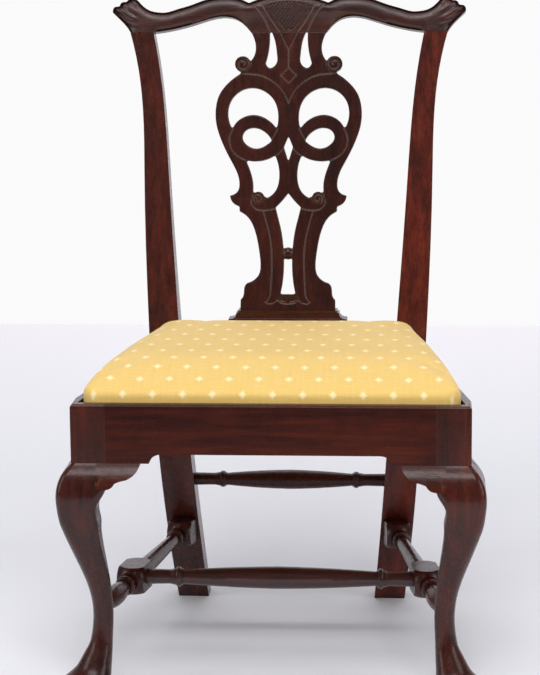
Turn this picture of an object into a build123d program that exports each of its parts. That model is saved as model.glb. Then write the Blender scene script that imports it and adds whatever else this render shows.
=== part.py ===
from build123d import *
import os
from math import atan2, ceil, cos, degrees, exp, radians, sin, tan

# Side chair with a pierced splat, eared crest, cabriole front legs and a drop-in seat
# Millimetres. +Z is up, the sitter faces -Y, +X is the right side of a person looking at the front.
# The pieces are drawn with Y = 0 on the face of the front rail and then moved together,
# so that the origin is on the floor under the middle of the whole chair.

# Seat frame
SEAT_WIDTH = 551.0
SEAT_REAR_WIDTH = 422.0
SEAT_DEPTH = 412.0
SEAT_HEIGHT = 420.0
RAIL_THICKNESS = 30.0
RAIL_HEIGHT = 70.0
RAIL_END_DROP = 13.0
RAIL_END_LENGTH = 60.0
RAIL_COVE_RUN = 18.0
RAIL_EDGE_ROUND = 5.0
RABBET_LIP = 14.0
RABBET_DEPTH = 14.0
REAR_RAIL_THICKNESS = 38.0
REAR_RAIL_SETBACK = 2.0

# Front legs
POST = 48.0
KNEE_PROUD = 21.0
KNEE_DROP = 50.0
KNEE_INNER_SETBACK = 13.0
ANKLE_HEIGHT = 112.0
ANKLE_DIAMETER = 28.5
ANKLE_SETBACK = 21.0
FOOT_DIAMETER = 70.0
FOOT_PROUD = 23.5
FOOT_WIDEST_HEIGHT = 17.0
FOOT_UNDERCUT = 7.0
ARRIS_SHARE = 0.13

# Knee brackets
BRACKET_LENGTH = 47.0
BRACKET_DROP = 33.0
BRACKET_THICKNESS = 40.0

# Rear legs, each in one piece with its stile
REAR_LEG_WIDTH = 48.0
REAR_LEG_DEPTH = 45.0
REAR_FOOT_DEPTH = 38.0
REAR_FOOT_CENTRE = 157.0
REAR_KICK = 62.0
STILE_MID_CENTRE = 203.0
STILE_MID_WIDTH = 38.5
STILE_NECK_CENTRE = 212.5
STILE_NECK_WIDTH = 33.0
STILE_TOP_CENTRE = 227.0
STILE_TOP_WIDTH = 36.0
STILE_TOP_DEPTH = 26.0
RAKE_START = 10.0
RAKE = 10.5

# Back
BACK_WIDTH = 545.0
SHOE_HEIGHT = 55.0
SPLAT_RISE = 431.0
SPLAT_THICKNESS = 12.0
SPLAT_SETBACK = 9.0
SPLAT_FOOT = 24.0
CREST_RISE = 56.0
CREST_THICKNESS = 26.0
CREST_PROUD = 1.5
CREST_COVE_RISE = 38.0
CREST_COVE_HALF = 62.0
CREST_COVE_RUN = 110.0
FAN_SINK = 1.2
VOLUTE_PROUD = 2.0
SPLAT_FOOT_HALF = 73.6
TONGUE_HALF = 50.0
BALL_RADIUS = 9.7
BALL_RISE = 90.0
SHOE_THICKNESS = 27.0
SHOE_TOP_MARGIN = 3.0
SHOE_FLARE = 15.0
SHOE_MOULDING = 13.0

# Stretchers
STRETCHER_HEIGHT = 120.0
REAR_STRETCHER_HEIGHT = 201.0
MEDIAL_DISTANCE = 185.0
SIDE_BLOCK = 40.0
SIDE_BLOCK_LENGTH = 66.0
REAR_BLOCK = 38.0
REAR_BLOCK_LENGTH = 42.0
SIDE_SHAFT_RADIUS = 13.5
SIDE_NECK_RADIUS = 9.0
MEDIAL_RADIUS = 16.5
MEDIAL_NECK_RADIUS = 10.5
MEDIAL_RING_RADIUS = 15.0
MEDIAL_RING_PLACE = 148.5
REAR_STRETCHER_RADIUS = 15.3
REAR_NECK_RADIUS = 9.5
REAR_RING_RADIUS = 13.0
REAR_RING_PLACE = 105.0
RING_BEAD = 8.0
RING_STEP = 2.0
RING_COVE = 11.0

# Joinery
TENON_THICKNESS = 9.0
TENON_LENGTH = 23.0
TENON_SHOULDER = 9.0
TENON_SETBACK = 15.0
STRETCHER_TENON_RADIUS = 7.0
STRETCHER_TENON_LENGTH = 13.0
CREST_TENON_LENGTH = 14.0
JOINT_CLEARANCE = 0.2

# Corner blocks inside the seat frame
BLOCK_LEG = 62.0
BLOCK_HEIGHT = 42.0
BLOCK_BELOW_LEDGE = 6.0

# Drop-in seat
SEAT_CLEARANCE = 1.5
SEAT_REST_GAP = 0.3
SLIP_RAIL_WIDTH = 55.0
SLIP_RAIL_THICKNESS = 20.0
SLIP_TENON_LENGTH = 28.0
COVER_THICKNESS = 1.2
COVER_HEM = 32.0
STUFFING_GAP = 0.3
SEAT_EDGE_MARGIN = 9.0
CROWN = 31.0
CROWN_EASE_FRONT = 66.0
CROWN_EASE_SIDE = 9.0
CROWN_EASE_REAR = 9.0
CROWN_RUN = 3.2
CROWN_STEPS = 12
CROWN_CORNER_GROWTH = 1.0
SEAT_CORNER_RADIUS = 22.0
WEB_WIDTH = 50.0
WEB_THICKNESS = 1.5
WEB_LAP = 36.0
WEB_COUNT = 3
SACKCLOTH_THICKNESS = 1.0
SACKCLOTH_LAP = 10.0
TACK_HEAD = 7.0
TACK_HEAD_HEIGHT = 1.2
TACK_SHANK = 1.6
TACK_LENGTH = 10.0
TACK_PITCH = 62.0
TACK_INSET = 24.0

# Sizes that follow
HALF = SEAT_WIDTH / 2
REAR_HALF = SEAT_REAR_WIDTH / 2
RAIL_BOTTOM = SEAT_HEIGHT - RAIL_HEIGHT
RAIL_END_BOTTOM = RAIL_BOTTOM - RAIL_END_DROP
LEDGE = SEAT_HEIGHT - RABBET_DEPTH
FRONT_RAIL_HALF = HALF - POST
SIDE_SPLAY = (HALF - REAR_HALF) / (SEAT_DEPTH - POST)
SIDE_ANGLE = degrees(atan2(HALF - REAR_HALF, SEAT_DEPTH - POST))
KNEE_HEIGHT = RAIL_END_BOTTOM - KNEE_DROP
TENON_TOP = LEDGE - TENON_SHOULDER
TENON_BOTTOM = RAIL_BOTTOM + TENON_SHOULDER
SHOE_TOP = SEAT_HEIGHT + SHOE_HEIGHT
SLOPE_COS = cos(radians(RAKE))
SLOPE_SIN = sin(radians(RAKE))
BACK_ORIGIN_Y = SEAT_DEPTH + (SHOE_HEIGHT - RAKE_START) * tan(radians(RAKE))
BACK_PLANE = Plane(
    origin=(0, BACK_ORIGIN_Y, SHOE_TOP),
    x_dir=(1, 0, 0),
    z_dir=(0, -SLOPE_COS, SLOPE_SIN),
)
REAR_LEG_INNER = REAR_HALF - REAR_LEG_WIDTH
RING_LENGTH = RING_BEAD + 2 * RING_STEP + RING_COVE
SLIP_BOTTOM = LEDGE + SEAT_REST_GAP + COVER_THICKNESS
SLIP_TOP = SLIP_BOTTOM + SLIP_RAIL_THICKNESS
WEB_TOP = SLIP_TOP + 2 * WEB_THICKNESS
STUFFING_BOTTOM = WEB_TOP + SACKCLOTH_THICKNESS


# Small helpers
def slab(x0, x1, y0, y1, z0, z1):
    """Block between two opposite corners."""
    centre = Pos((x0 + x1) / 2, (y0 + y1) / 2, (z0 + z1) / 2)
    return centre * Box(x1 - x0, y1 - y0, z1 - z0)


def prism(points, z0, z1):
    """Upright block on a plan outline."""
    return Pos(0, 0, z0) * extrude(make_face(Polyline(*points, close=True)), z1 - z0)


def outline(start, *runs):
    """Closed face from a start point and runs: one point is a straight edge, a list is a curve."""
    edges = []
    here = start
    for run in runs:
        if isinstance(run, list):
            edges.append(Spline(here, *run))
            here = run[-1]
        else:
            edges.append(Line(here, run))
            here = run
    if here != start:
        edges.append(Line(here, start))
    return make_face(Wire(edges))


def other_side(shape):
    """The same piece on the other side of the chair."""
    return mirror(shape, about=Plane.YZ)


def both_sides(shape):
    return shape + other_side(shape)


def side_x(y, inset=0.0):
    """Half width of the seat frame at a depth, measured in from the outer face of the side rail."""
    return HALF - (y - POST) * SIDE_SPLAY - inset / cos(radians(SIDE_ANGLE))


def smooth_step(share):
    return share * share * (3 - 2 * share)


def back_plane(offset):
    """Plane of the back, moved along its normal; plus is towards the sitter."""
    return BACK_PLANE.offset(offset)


# Back pattern: half outlines in millimetres, across from the middle and up from the shoe
PATTERN_HALF_WIDTH = 272.5
PATTERN_RISE = 431.0
PATTERN_CREST = 56.0
ACROSS = BACK_WIDTH / 2 / PATTERN_HALF_WIDTH
UP = SPLAT_RISE / PATTERN_RISE
UP_CREST = CREST_RISE / PATTERN_CREST


def on_splat(item):
    """Pattern point, or list of points, at the real size of the splat."""
    if isinstance(item, list):
        return [on_splat(point) for point in item]
    return (item[0] * ACROSS, item[1] * UP)


def on_crest(item):
    """Pattern point above the crest joint, or list of points, at the real size of the crest."""
    if isinstance(item, list):
        return [on_crest(point) for point in item]
    return (item[0] * ACROSS, SPLAT_RISE + item[1] * UP_CREST)


def splat_outline(*runs):
    return outline(*[on_splat(run) for run in runs])


def crest_outline(*runs):
    return outline(*[on_crest(run) for run in runs])


# Front legs
def knee_outer(z):
    """How far the outer face of the leg stands out from the post, from the foot to the post."""
    if z >= KNEE_HEIGHT:
        share = (RAIL_END_BOTTOM - z) / KNEE_DROP
        return KNEE_PROUD * (1 - (1 - share) ** 2.6)
    if z >= ANKLE_HEIGHT:
        share = (KNEE_HEIGHT - z) / (KNEE_HEIGHT - ANKLE_HEIGHT)
        return KNEE_PROUD - (KNEE_PROUD + ANKLE_SETBACK) * smooth_step(share)
    if z >= FOOT_WIDEST_HEIGHT:
        share = (ANKLE_HEIGHT - z) / (ANKLE_HEIGHT - FOOT_WIDEST_HEIGHT)
        return -ANKLE_SETBACK + (FOOT_PROUD + ANKLE_SETBACK) * share ** 2.5
    share = 1 - z / FOOT_WIDEST_HEIGHT
    return FOOT_PROUD - FOOT_UNDERCUT * share ** 2


def knee_inner(z):
    """How far the inner face of the leg lies in from the outer face of the post."""
    ankle_inner = ANKLE_SETBACK + ANKLE_DIAMETER
    knee_inner_face = POST - KNEE_INNER_SETBACK
    bracket_bottom = RAIL_END_BOTTOM - BRACKET_DROP
    if z >= bracket_bottom:
        return POST
    if z >= KNEE_HEIGHT - KNEE_INNER_SETBACK:
        share = (bracket_bottom - z) / (bracket_bottom - KNEE_HEIGHT + KNEE_INNER_SETBACK)
        return POST - KNEE_INNER_SETBACK * smooth_step(share)
    if z >= ANKLE_HEIGHT:
        top = KNEE_HEIGHT - KNEE_INNER_SETBACK
        share = (top - z) / (top - ANKLE_HEIGHT)
        return knee_inner_face + (ankle_inner - knee_inner_face) * smooth_step(share)
    foot_inner = FOOT_DIAMETER - FOOT_PROUD
    if z >= FOOT_WIDEST_HEIGHT:
        share = (ANKLE_HEIGHT - z) / (ANKLE_HEIGHT - FOOT_WIDEST_HEIGHT)
        return ankle_inner + (foot_inner - ankle_inner) * share
    share = 1 - z / FOOT_WIDEST_HEIGHT
    return foot_inner - FOOT_UNDERCUT * share ** 2


def leg_section(z):
    """Rounded square across the leg, square-edged at the knee and round at the ankle."""
    outer = knee_outer(z)
    inner = -knee_inner(z)
    side = outer - inner
    share = (RAIL_END_BOTTOM - z) / (RAIL_END_BOTTOM - ANKLE_HEIGHT)
    roundness = 0.49
    if share < 1:
        roundness = ARRIS_SHARE + (0.49 - ARRIS_SHARE) * smooth_step(share)
    middle = (outer + inner) / 2
    return Pos(HALF + middle, -middle, z) * RectangleRounded(side, side, side * roundness)


def front_leg_blank():
    """Cabriole leg with its square post, before the mortises are cut."""
    knee = [RAIL_END_BOTTOM - KNEE_DROP * share for share in (0.0, 0.18, 0.45, 0.75, 1.0)]
    calf_top = KNEE_HEIGHT
    calf = [calf_top + (ANKLE_HEIGHT - calf_top) * share for share in (0.14, 0.3, 0.5, 0.7, 0.87, 1.0)]
    foot_drop = FOOT_WIDEST_HEIGHT - ANKLE_HEIGHT
    foot = [ANKLE_HEIGHT + foot_drop * share for share in (0.3, 0.52, 0.7, 0.85, 1.0)]
    pad = [FOOT_WIDEST_HEIGHT * share for share in (0.45, 0.0)]
    leg = loft([leg_section(z) for z in knee + calf + foot + pad])
    post = slab(HALF - POST, HALF, 0, POST, RAIL_END_BOTTOM, SEAT_HEIGHT)
    top_edges = [
        post.edges().sort_by_distance((HALF - POST / 2, 0, SEAT_HEIGHT))[0],
        post.edges().sort_by_distance((HALF, POST / 2, SEAT_HEIGHT))[0],
    ]
    return leg + fillet(top_edges, RAIL_EDGE_ROUND)


# Knee brackets
def front_bracket_blank():
    """Bracket under the deep end of the front rail, swelling out with the knee."""
    top = RAIL_END_BOTTOM
    inner = HALF - POST
    bury = KNEE_INNER_SETBACK
    face = outline(
        (inner + bury, top),
        (inner - BRACKET_LENGTH, top),
        [
            (inner - 0.95 * BRACKET_LENGTH, top - 0.25 * BRACKET_DROP),
            (inner - 0.83 * BRACKET_LENGTH, top - 0.44 * BRACKET_DROP),
            (inner - 0.62 * BRACKET_LENGTH, top - 0.61 * BRACKET_DROP),
        ],
        [
            (inner - 0.46 * BRACKET_LENGTH, top - 0.66 * BRACKET_DROP),
            (inner - 0.30 * BRACKET_LENGTH, top - 0.74 * BRACKET_DROP),
        ],
        [
            (inner - 0.18 * BRACKET_LENGTH, top - 0.93 * BRACKET_DROP),
            (inner, top - BRACKET_DROP),
        ],
        (inner + bury, top - BRACKET_DROP),
    )
    across = Plane.XZ * face
    across = extrude(across, 2 * BRACKET_THICKNESS, both=True)
    levels = [top - BRACKET_DROP * share for share in (0.2, 0.5, 0.8, 1.1)]
    section = outline(
        (0, top),
        [(-knee_outer(z), z) for z in levels],
        (BRACKET_THICKNESS - KNEE_PROUD, levels[-1]),
        (BRACKET_THICKNESS - KNEE_PROUD, top),
    )
    along = extrude(Plane.YZ * section, HALF + BRACKET_LENGTH)
    return across & along


def side_bracket_blank(front_bracket):
    """The same bracket turned round the corner of the leg; behind the post it follows the side rail."""
    diagonal = Plane(origin=(HALF, 0, 0), z_dir=(1, 1, 0))
    square = mirror(front_bracket, about=diagonal)
    splayed = square.rotate(Axis((HALF, POST, 0), (0, 0, 1)), SIDE_ANGLE)
    post_back = Plane(origin=(0, POST, 0), x_dir=(1, 0, 0), z_dir=(0, 1, 0))
    return split(square, post_back, keep=Keep.BOTTOM) + split(splayed, post_back, keep=Keep.TOP)


# Seat rails
def seat_recess():
    """Space that the drop-in seat sits in, cut into the rails and the front posts."""
    front = RABBET_LIP
    back = SEAT_DEPTH
    corners = [
        (-side_x(front, RABBET_LIP), front),
        (side_x(front, RABBET_LIP), front),
        (side_x(back, RABBET_LIP), back),
        (-side_x(back, RABBET_LIP), back),
    ]
    return prism(corners, LEDGE, SEAT_HEIGHT + RABBET_DEPTH)


def front_rail_tenon(clearance=0.0):
    y = TENON_SETBACK
    reach = FRONT_RAIL_HALF + TENON_LENGTH + clearance
    thick = TENON_THICKNESS / 2 + clearance
    return slab(-reach, reach, y - thick, y + thick, TENON_BOTTOM - clearance, TENON_TOP + clearance)


def front_seat_rail(recess):
    """Rail with deep ends that cove up to a shallower middle and a rounded top edge."""
    shoulder = FRONT_RAIL_HALF - RAIL_END_LENGTH
    crown = shoulder - RAIL_COVE_RUN
    face = make_face(Wire([
        Line((0, SEAT_HEIGHT), (FRONT_RAIL_HALF, SEAT_HEIGHT)),
        Line((FRONT_RAIL_HALF, SEAT_HEIGHT), (FRONT_RAIL_HALF, RAIL_END_BOTTOM)),
        Line((FRONT_RAIL_HALF, RAIL_END_BOTTOM), (shoulder, RAIL_END_BOTTOM)),
        Bezier(
            (shoulder, RAIL_END_BOTTOM),
            (shoulder - 0.2 * RAIL_COVE_RUN, RAIL_BOTTOM),
            (crown, RAIL_BOTTOM),
        ),
        Line((crown, RAIL_BOTTOM), (0, RAIL_BOTTOM)),
        Line((0, RAIL_BOTTOM), (0, SEAT_HEIGHT)),
    ]))
    rail = both_sides(extrude(Plane.XZ * face, -RAIL_THICKNESS))
    top_edge = rail.edges().sort_by_distance((0, 0, SEAT_HEIGHT))[0]
    rail = fillet(top_edge, RAIL_EDGE_ROUND) - recess
    return rail + front_rail_tenon()


def side_rail_tenons(clearance=0.0):
    """Straight tenons at the front and the rear end of a side rail."""
    half = TENON_THICKNESS / 2 + clearance
    low = TENON_BOTTOM - clearance
    high = TENON_TOP + clearance
    front_x = HALF - TENON_SETBACK
    rear_x = side_x(SEAT_DEPTH, TENON_SETBACK)
    bury = TENON_LENGTH + clearance
    front = slab(front_x - half, front_x + half, POST - bury, POST + TENON_LENGTH, low, high)
    rear = slab(
        rear_x - half, rear_x + half, SEAT_DEPTH - TENON_LENGTH, SEAT_DEPTH + bury, low, high
    )
    return front, rear


def side_seat_rail(recess):
    """Splayed rail from the front post to the rear leg, deep at the front for its bracket."""
    front = POST
    back = SEAT_DEPTH
    rail = prism(
        [
            (side_x(front), front),
            (side_x(back), back),
            (side_x(back, RAIL_THICKNESS), back),
            (side_x(front, RAIL_THICKNESS), front),
        ],
        RAIL_END_BOTTOM,
        SEAT_HEIGHT,
    )
    middle = (front + back) / 2
    top_edge = rail.edges().sort_by_distance((side_x(middle), middle, SEAT_HEIGHT))[0]
    rail = fillet(top_edge, RAIL_EDGE_ROUND)
    shoulder = POST + RAIL_END_LENGTH
    cove_end = shoulder + RAIL_COVE_RUN
    below = make_face(Wire([
        Bezier(
            (shoulder, RAIL_END_BOTTOM),
            (shoulder + 0.2 * RAIL_COVE_RUN, RAIL_BOTTOM),
            (cove_end, RAIL_BOTTOM),
        ),
        Line((cove_end, RAIL_BOTTOM), (2 * SEAT_DEPTH, RAIL_BOTTOM)),
        Line((2 * SEAT_DEPTH, RAIL_BOTTOM), (2 * SEAT_DEPTH, RAIL_END_BOTTOM)),
        Line((2 * SEAT_DEPTH, RAIL_END_BOTTOM), (shoulder, RAIL_END_BOTTOM)),
    ]))
    rail = rail - extrude(Plane.YZ * below, SEAT_WIDTH) - recess
    front_tenon, rear_tenon = side_rail_tenons()
    return rail + front_tenon + rear_tenon


def rear_rail_y():
    front = SEAT_DEPTH + REAR_RAIL_SETBACK
    return front, front + REAR_RAIL_THICKNESS


def rear_rail_tenon(clearance=0.0):
    front, back = rear_rail_y()
    middle = (front + back) / 2
    half = TENON_THICKNESS / 2 + clearance
    reach = REAR_LEG_INNER + TENON_LENGTH + clearance
    high = SEAT_HEIGHT - TENON_SHOULDER + clearance
    return slab(-reach, reach, middle - half, middle + half, TENON_BOTTOM - clearance, high)


def rear_seat_rail(rear_legs):
    """Rail between the rear legs, with its shoulders cut to their slope."""
    front, back = rear_rail_y()
    reach = REAR_LEG_INNER + REAR_LEG_WIDTH / 2
    rail = slab(-reach, reach, front, back, RAIL_BOTTOM, SEAT_HEIGHT)
    for leg in rear_legs:
        rail = rail - leg
    return rail + rear_rail_tenon()


# Rear legs
def rear_leg_blank():
    """Rear leg and stile sawn to a side profile and a front profile."""
    top_s = SPLAT_RISE
    slope_run = top_s * SLOPE_SIN
    slope_rise = top_s * SLOPE_COS
    rake_z = SEAT_HEIGHT + RAKE_START
    top_front = (BACK_ORIGIN_Y + slope_run, SHOE_TOP + slope_rise)
    top_back = (top_front[0] + STILE_TOP_DEPTH * SLOPE_COS, top_front[1] - STILE_TOP_DEPTH * SLOPE_SIN)
    front = SEAT_DEPTH
    back = SEAT_DEPTH + REAR_LEG_DEPTH
    foot_front = SEAT_DEPTH + REAR_KICK
    foot_back = foot_front + REAR_FOOT_DEPTH
    low_bend = 0.5 * RAIL_BOTTOM
    high_bend = 0.7 * RAIL_BOTTOM
    lean = 0.3 * REAR_KICK
    side = make_face(Wire([
        Line((foot_front, 0), (foot_back, 0)),
        Bezier((foot_back, 0), (back + lean, low_bend), (back, high_bend), (back, RAIL_BOTTOM)),
        Line((back, RAIL_BOTTOM), (back, SEAT_HEIGHT)),
        Bezier((back, SEAT_HEIGHT), (back, SHOE_TOP + SHOE_HEIGHT), top_back),
        Line(top_back, top_front),
        Line(top_front, (front, rake_z)),
        Line((front, rake_z), (front, RAIL_BOTTOM)),
        Bezier((front, RAIL_BOTTOM), (front, high_bend), (front + lean, low_bend), (foot_front, 0)),
    ]))
    solid = extrude(Plane.YZ * side, BACK_WIDTH)
    seat_centre = REAR_HALF - REAR_LEG_WIDTH / 2
    rail_middle = SEAT_HEIGHT - RAIL_HEIGHT / 2
    neck_z = SHOE_TOP + 0.82 * slope_rise
    mid_z = SHOE_TOP + 0.47 * slope_rise
    top_z = top_front[1]
    stations = [
        (0.0, REAR_FOOT_CENTRE, REAR_LEG_WIDTH),
        (rail_middle, seat_centre, REAR_LEG_WIDTH),
        (mid_z, STILE_MID_CENTRE, STILE_MID_WIDTH),
        (neck_z, STILE_NECK_CENTRE, STILE_NECK_WIDTH),
        (top_z, STILE_TOP_CENTRE, STILE_TOP_WIDTH),
    ]
    outer = [(centre + width / 2, z) for z, centre, width in stations]
    inner = [(centre - width / 2, z) for z, centre, width in stations]
    front_face = make_face(Wire([
        Spline(*outer),
        Line(outer[-1], inner[-1]),
        Spline(*reversed(inner)),
        Line(inner[0], outer[0]),
    ]))
    return solid & extrude(Plane.XZ * front_face, -2 * SEAT_DEPTH)


def stile_tenon(clearance=0.0):
    """Tenon on the top of the stile that goes up into the crest."""
    width = STILE_TOP_WIDTH - 2 * TENON_SHOULDER + 2 * clearance
    thick = TENON_THICKNESS + 2 * clearance
    high = CREST_TENON_LENGTH + clearance
    plane = back_plane(-STILE_TOP_DEPTH / 2)
    centre = SPLAT_RISE + (high - TENON_SHOULDER) / 2
    local = Pos(STILE_TOP_CENTRE, centre, 0) * Box(width, high + TENON_SHOULDER, thick)
    return plane * local


# Back: splat, crest and shoe
def splat_half():
    """Half outline of the splat with its scrolled edge."""
    return splat_outline(
        (0, 0),
        (SPLAT_FOOT_HALF, 0),
        (73.2, 18.5),
        [(68.6, 26), (68.0, 34), (62, 44.5)],
        [(51.9, 49.3), (45.2, 57), (42.6, 72), (44.9, 95), (51.8, 126), (59.2, 141.6), (75.5, 154.6)],
        (75.6, 162.6),
        [(85, 167.4), (90.4, 179.5)],
        [(77.4, 187.7), (76.2, 203), (89.3, 234), (104.1, 264.6), (112.7, 295),
         (113.1, 310.7), (108, 334), (97, 350), (76.1, 366.9)],
        (59.3, 386.7),
        [(51.3, 403), (52.4, 418), (58, 431)],
        (0, 431),
    )


def teardrop():
    """Piercing beside the fan, whose tip runs on into the crest."""
    return splat_outline(
        (29.4, 434),
        [(29.2, 420), (31, 402), (35.6, 384)],
        [(27.2, 376.6), (18.8, 384), (18.2, 397), (20.6, 415), (27.6, 434)],
    )


def splat_openings():
    """Piercings on one side: teardrop, upper loop, eye, lower loop, and half of the middle ones."""
    upper_loop = splat_outline(
        (86.7, 282.4),
        [(93.5, 303), (88.9, 326), (74, 341), (56.7, 345.6),
         (38.3, 341), (22.3, 326), (15.9, 303), (18.3, 282.4)],
        [(31, 296), (54.1, 304.1), (77, 296), (86.7, 282.4)],
    )
    eye = splat_outline(
        (25.8, 264),
        [(38, 278.5), (55, 283.8), (67.5, 278.5), (71, 268),
         (63.3, 257), (48.9, 252), (35.5, 256.5), (25.8, 264)],
    )
    lower_loop = splat_outline(
        (65.6, 234),
        [(51.5, 232.2), (35, 234.5), (20.6, 241.5)],
        [(15.4, 226), (14.0, 208), (17, 192), (32, 176)],
        (54.6, 185),
        [(54.2, 196), (57.5, 213), (65.6, 234)],
    )
    diamond = splat_outline((0, 271), (7, 254.3), (0, 231.8))
    vase = splat_outline(
        (0, 183),
        [(8.7, 172), (19.5, 161)],
        [(16.5, 149), (10.8, 126), (7.2, 100), (6.2, 73), (7.8, 48), (11.7, 27)],
        (0, 27),
    )
    return [teardrop(), upper_loop, eye, lower_loop, diamond, vase]


def through(face):
    """A piercing of the back as a solid on both sides of the chair, right through the splat."""
    return both_sides(extrude(back_plane(-SPLAT_SETBACK) * face, 2 * SPLAT_THICKNESS, both=True))


def splat_volutes():
    """Scroll ends: centre and radius on the pattern."""
    return [((70.9, 382.5), 12.3), ((46.1, 176.3), 9.0)]


def crest_tongue(clearance=0.0):
    """Tongue along the top of the splat that goes up into the crest."""
    reach = TONGUE_HALF * ACROSS + clearance
    high = CREST_TENON_LENGTH + clearance
    thick = SPLAT_THICKNESS - 2 * SHOE_TOP_MARGIN + 2 * clearance
    local = Pos(0, SPLAT_RISE + high / 2, 0) * Box(2 * reach, high, thick)
    return back_plane(-SPLAT_SETBACK - SPLAT_THICKNESS / 2) * local


def splat_foot(clearance=0.0):
    """Foot of the splat that drops into the shoe, reaching up past the level top of the shoe."""
    reach = SPLAT_FOOT_HALF * ACROSS + clearance
    low = -SPLAT_FOOT - clearance
    high = SHOE_MOULDING if clearance else 0.0
    local = Pos(0, (low + high) / 2, 0) * Box(2 * reach, high - low, SPLAT_THICKNESS + 2 * clearance)
    return back_plane(-SPLAT_SETBACK - SPLAT_THICKNESS / 2) * local


def back_splat():
    """Pierced splat with raised volutes and the ball between its lower straps."""
    plane = back_plane(-SPLAT_SETBACK)
    solid = both_sides(extrude(plane * splat_half(), -SPLAT_THICKNESS)) + crest_tongue()
    for opening in splat_openings():
        solid = solid - through(opening)
    for centre, radius in splat_volutes():
        place = Pos(*on_splat(centre), -SPLAT_THICKNESS / 2 + VOLUTE_PROUD / 2)
        disc = plane * (place * Cylinder(radius * ACROSS, SPLAT_THICKNESS + VOLUTE_PROUD))
        button_place = Pos(*on_splat(centre), VOLUTE_PROUD)
        button = plane * (button_place * Cylinder(0.4 * radius * ACROSS, VOLUTE_PROUD))
        solid = solid + disc + other_side(disc)
        solid = solid + button + other_side(button)
    ball_place = Pos(*on_splat((0, BALL_RISE)), -SPLAT_THICKNESS / 2) * Rot(0, 90, 0)
    solid = solid + plane * (ball_place * Sphere(BALL_RADIUS * ACROSS))
    return solid + splat_foot()


def crest_half():
    """Half outline of the crest: scroll arm, long curve to the stile, scalloped ear and fan."""
    return crest_outline(
        (0, 0),
        (58, 0),
        [(66.4, 10), (76, 18), (100.5, 24), (130, 18), (156, 10), (187, 3), (209, 0)],
        (245, 0),
        [(250, 8), (259, 18), (272.5, 31)],
        [(271, 38), (262, 40)],
        [(259, 46), (251, 47)],
        [(246, 52), (233, 49)],
        [(224.6, 40), (214, 33.5), (203, 31), (187.5, 31), (174, 35), (152, 41.4), (131, 49),
         (104, 53.5), (76, 51), (61.3, 44.6)],
        [(40, 52), (0, 56)],
    )


def fan_half():
    """Half outline of the sunk fan panel in the middle of the crest."""
    return crest_outline(
        (0, 3),
        [(10, 8), (24, 20), (41, 40)],
        [(20, 46), (0, 48)],
    )


def crest_cove(sink=0.0):
    """Side profile of the space in front of the crest, which thins down to the face of the splat."""
    low = SPLAT_RISE
    high = SPLAT_RISE + CREST_COVE_RISE
    clear = CREST_PROUD + CREST_THICKNESS
    deep = -SPLAT_SETBACK - sink
    face = CREST_PROUD - sink
    first = (low + 0.5 * CREST_COVE_RISE, deep)
    second = (high - 0.25 * CREST_COVE_RISE, face - CREST_PROUD)
    edges = [
        Line((low - CREST_COVE_RISE, deep), (low, deep)),
        Bezier((low, deep), first, second, (high, face)),
    ]
    if sink:
        edges.append(Line((high, face), (high + CREST_RISE, face)))
        edges.append(Line((high + CREST_RISE, face), (high + CREST_RISE, clear)))
        edges.append(Line((high + CREST_RISE, clear), (low - CREST_COVE_RISE, clear)))
    else:
        edges.append(Line((high, face), (high, clear)))
        edges.append(Line((high, clear), (low - CREST_COVE_RISE, clear)))
    edges.append(Line((low - CREST_COVE_RISE, clear), (low - CREST_COVE_RISE, deep)))
    across = Plane(origin=BACK_PLANE.origin, x_dir=BACK_PLANE.y_dir, z_dir=(1, 0, 0))
    return across * make_face(Wire(edges))


def crest_cuts():
    """Cove along the foot of the crest, which runs out in each arm, and the fan sunk below it."""
    half = CREST_COVE_HALF * ACROSS
    straight = extrude(crest_cove(), half)
    fade = Vector(CREST_COVE_RUN, 0, 0) + BACK_PLANE.z_dir * (CREST_PROUD + SPLAT_SETBACK)
    run_out = extrude(Pos(half, 0, 0) * crest_cove(), fade.length, dir=fade)
    panel = extrude(back_plane(-CREST_THICKNESS) * fan_half(), 2 * CREST_THICKNESS)
    fan = panel & extrude(crest_cove(FAN_SINK), BACK_WIDTH)
    return [both_sides(straight), both_sides(run_out), both_sides(fan)]


def crest_rail():
    """Crest with a coved foot, a sunk fan panel and sockets for the stiles and the splat."""
    solid = both_sides(extrude(back_plane(CREST_PROUD) * crest_half(), -CREST_THICKNESS))
    for cut in crest_cuts():
        solid = solid - cut
    solid = solid - crest_tongue(JOINT_CLEARANCE) - through(teardrop())
    socket = stile_tenon(JOINT_CLEARANCE)
    return solid - socket - other_side(socket)


def shoe_y():
    front, back = rear_rail_y()
    return back - SHOE_THICKNESS, back


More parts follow.
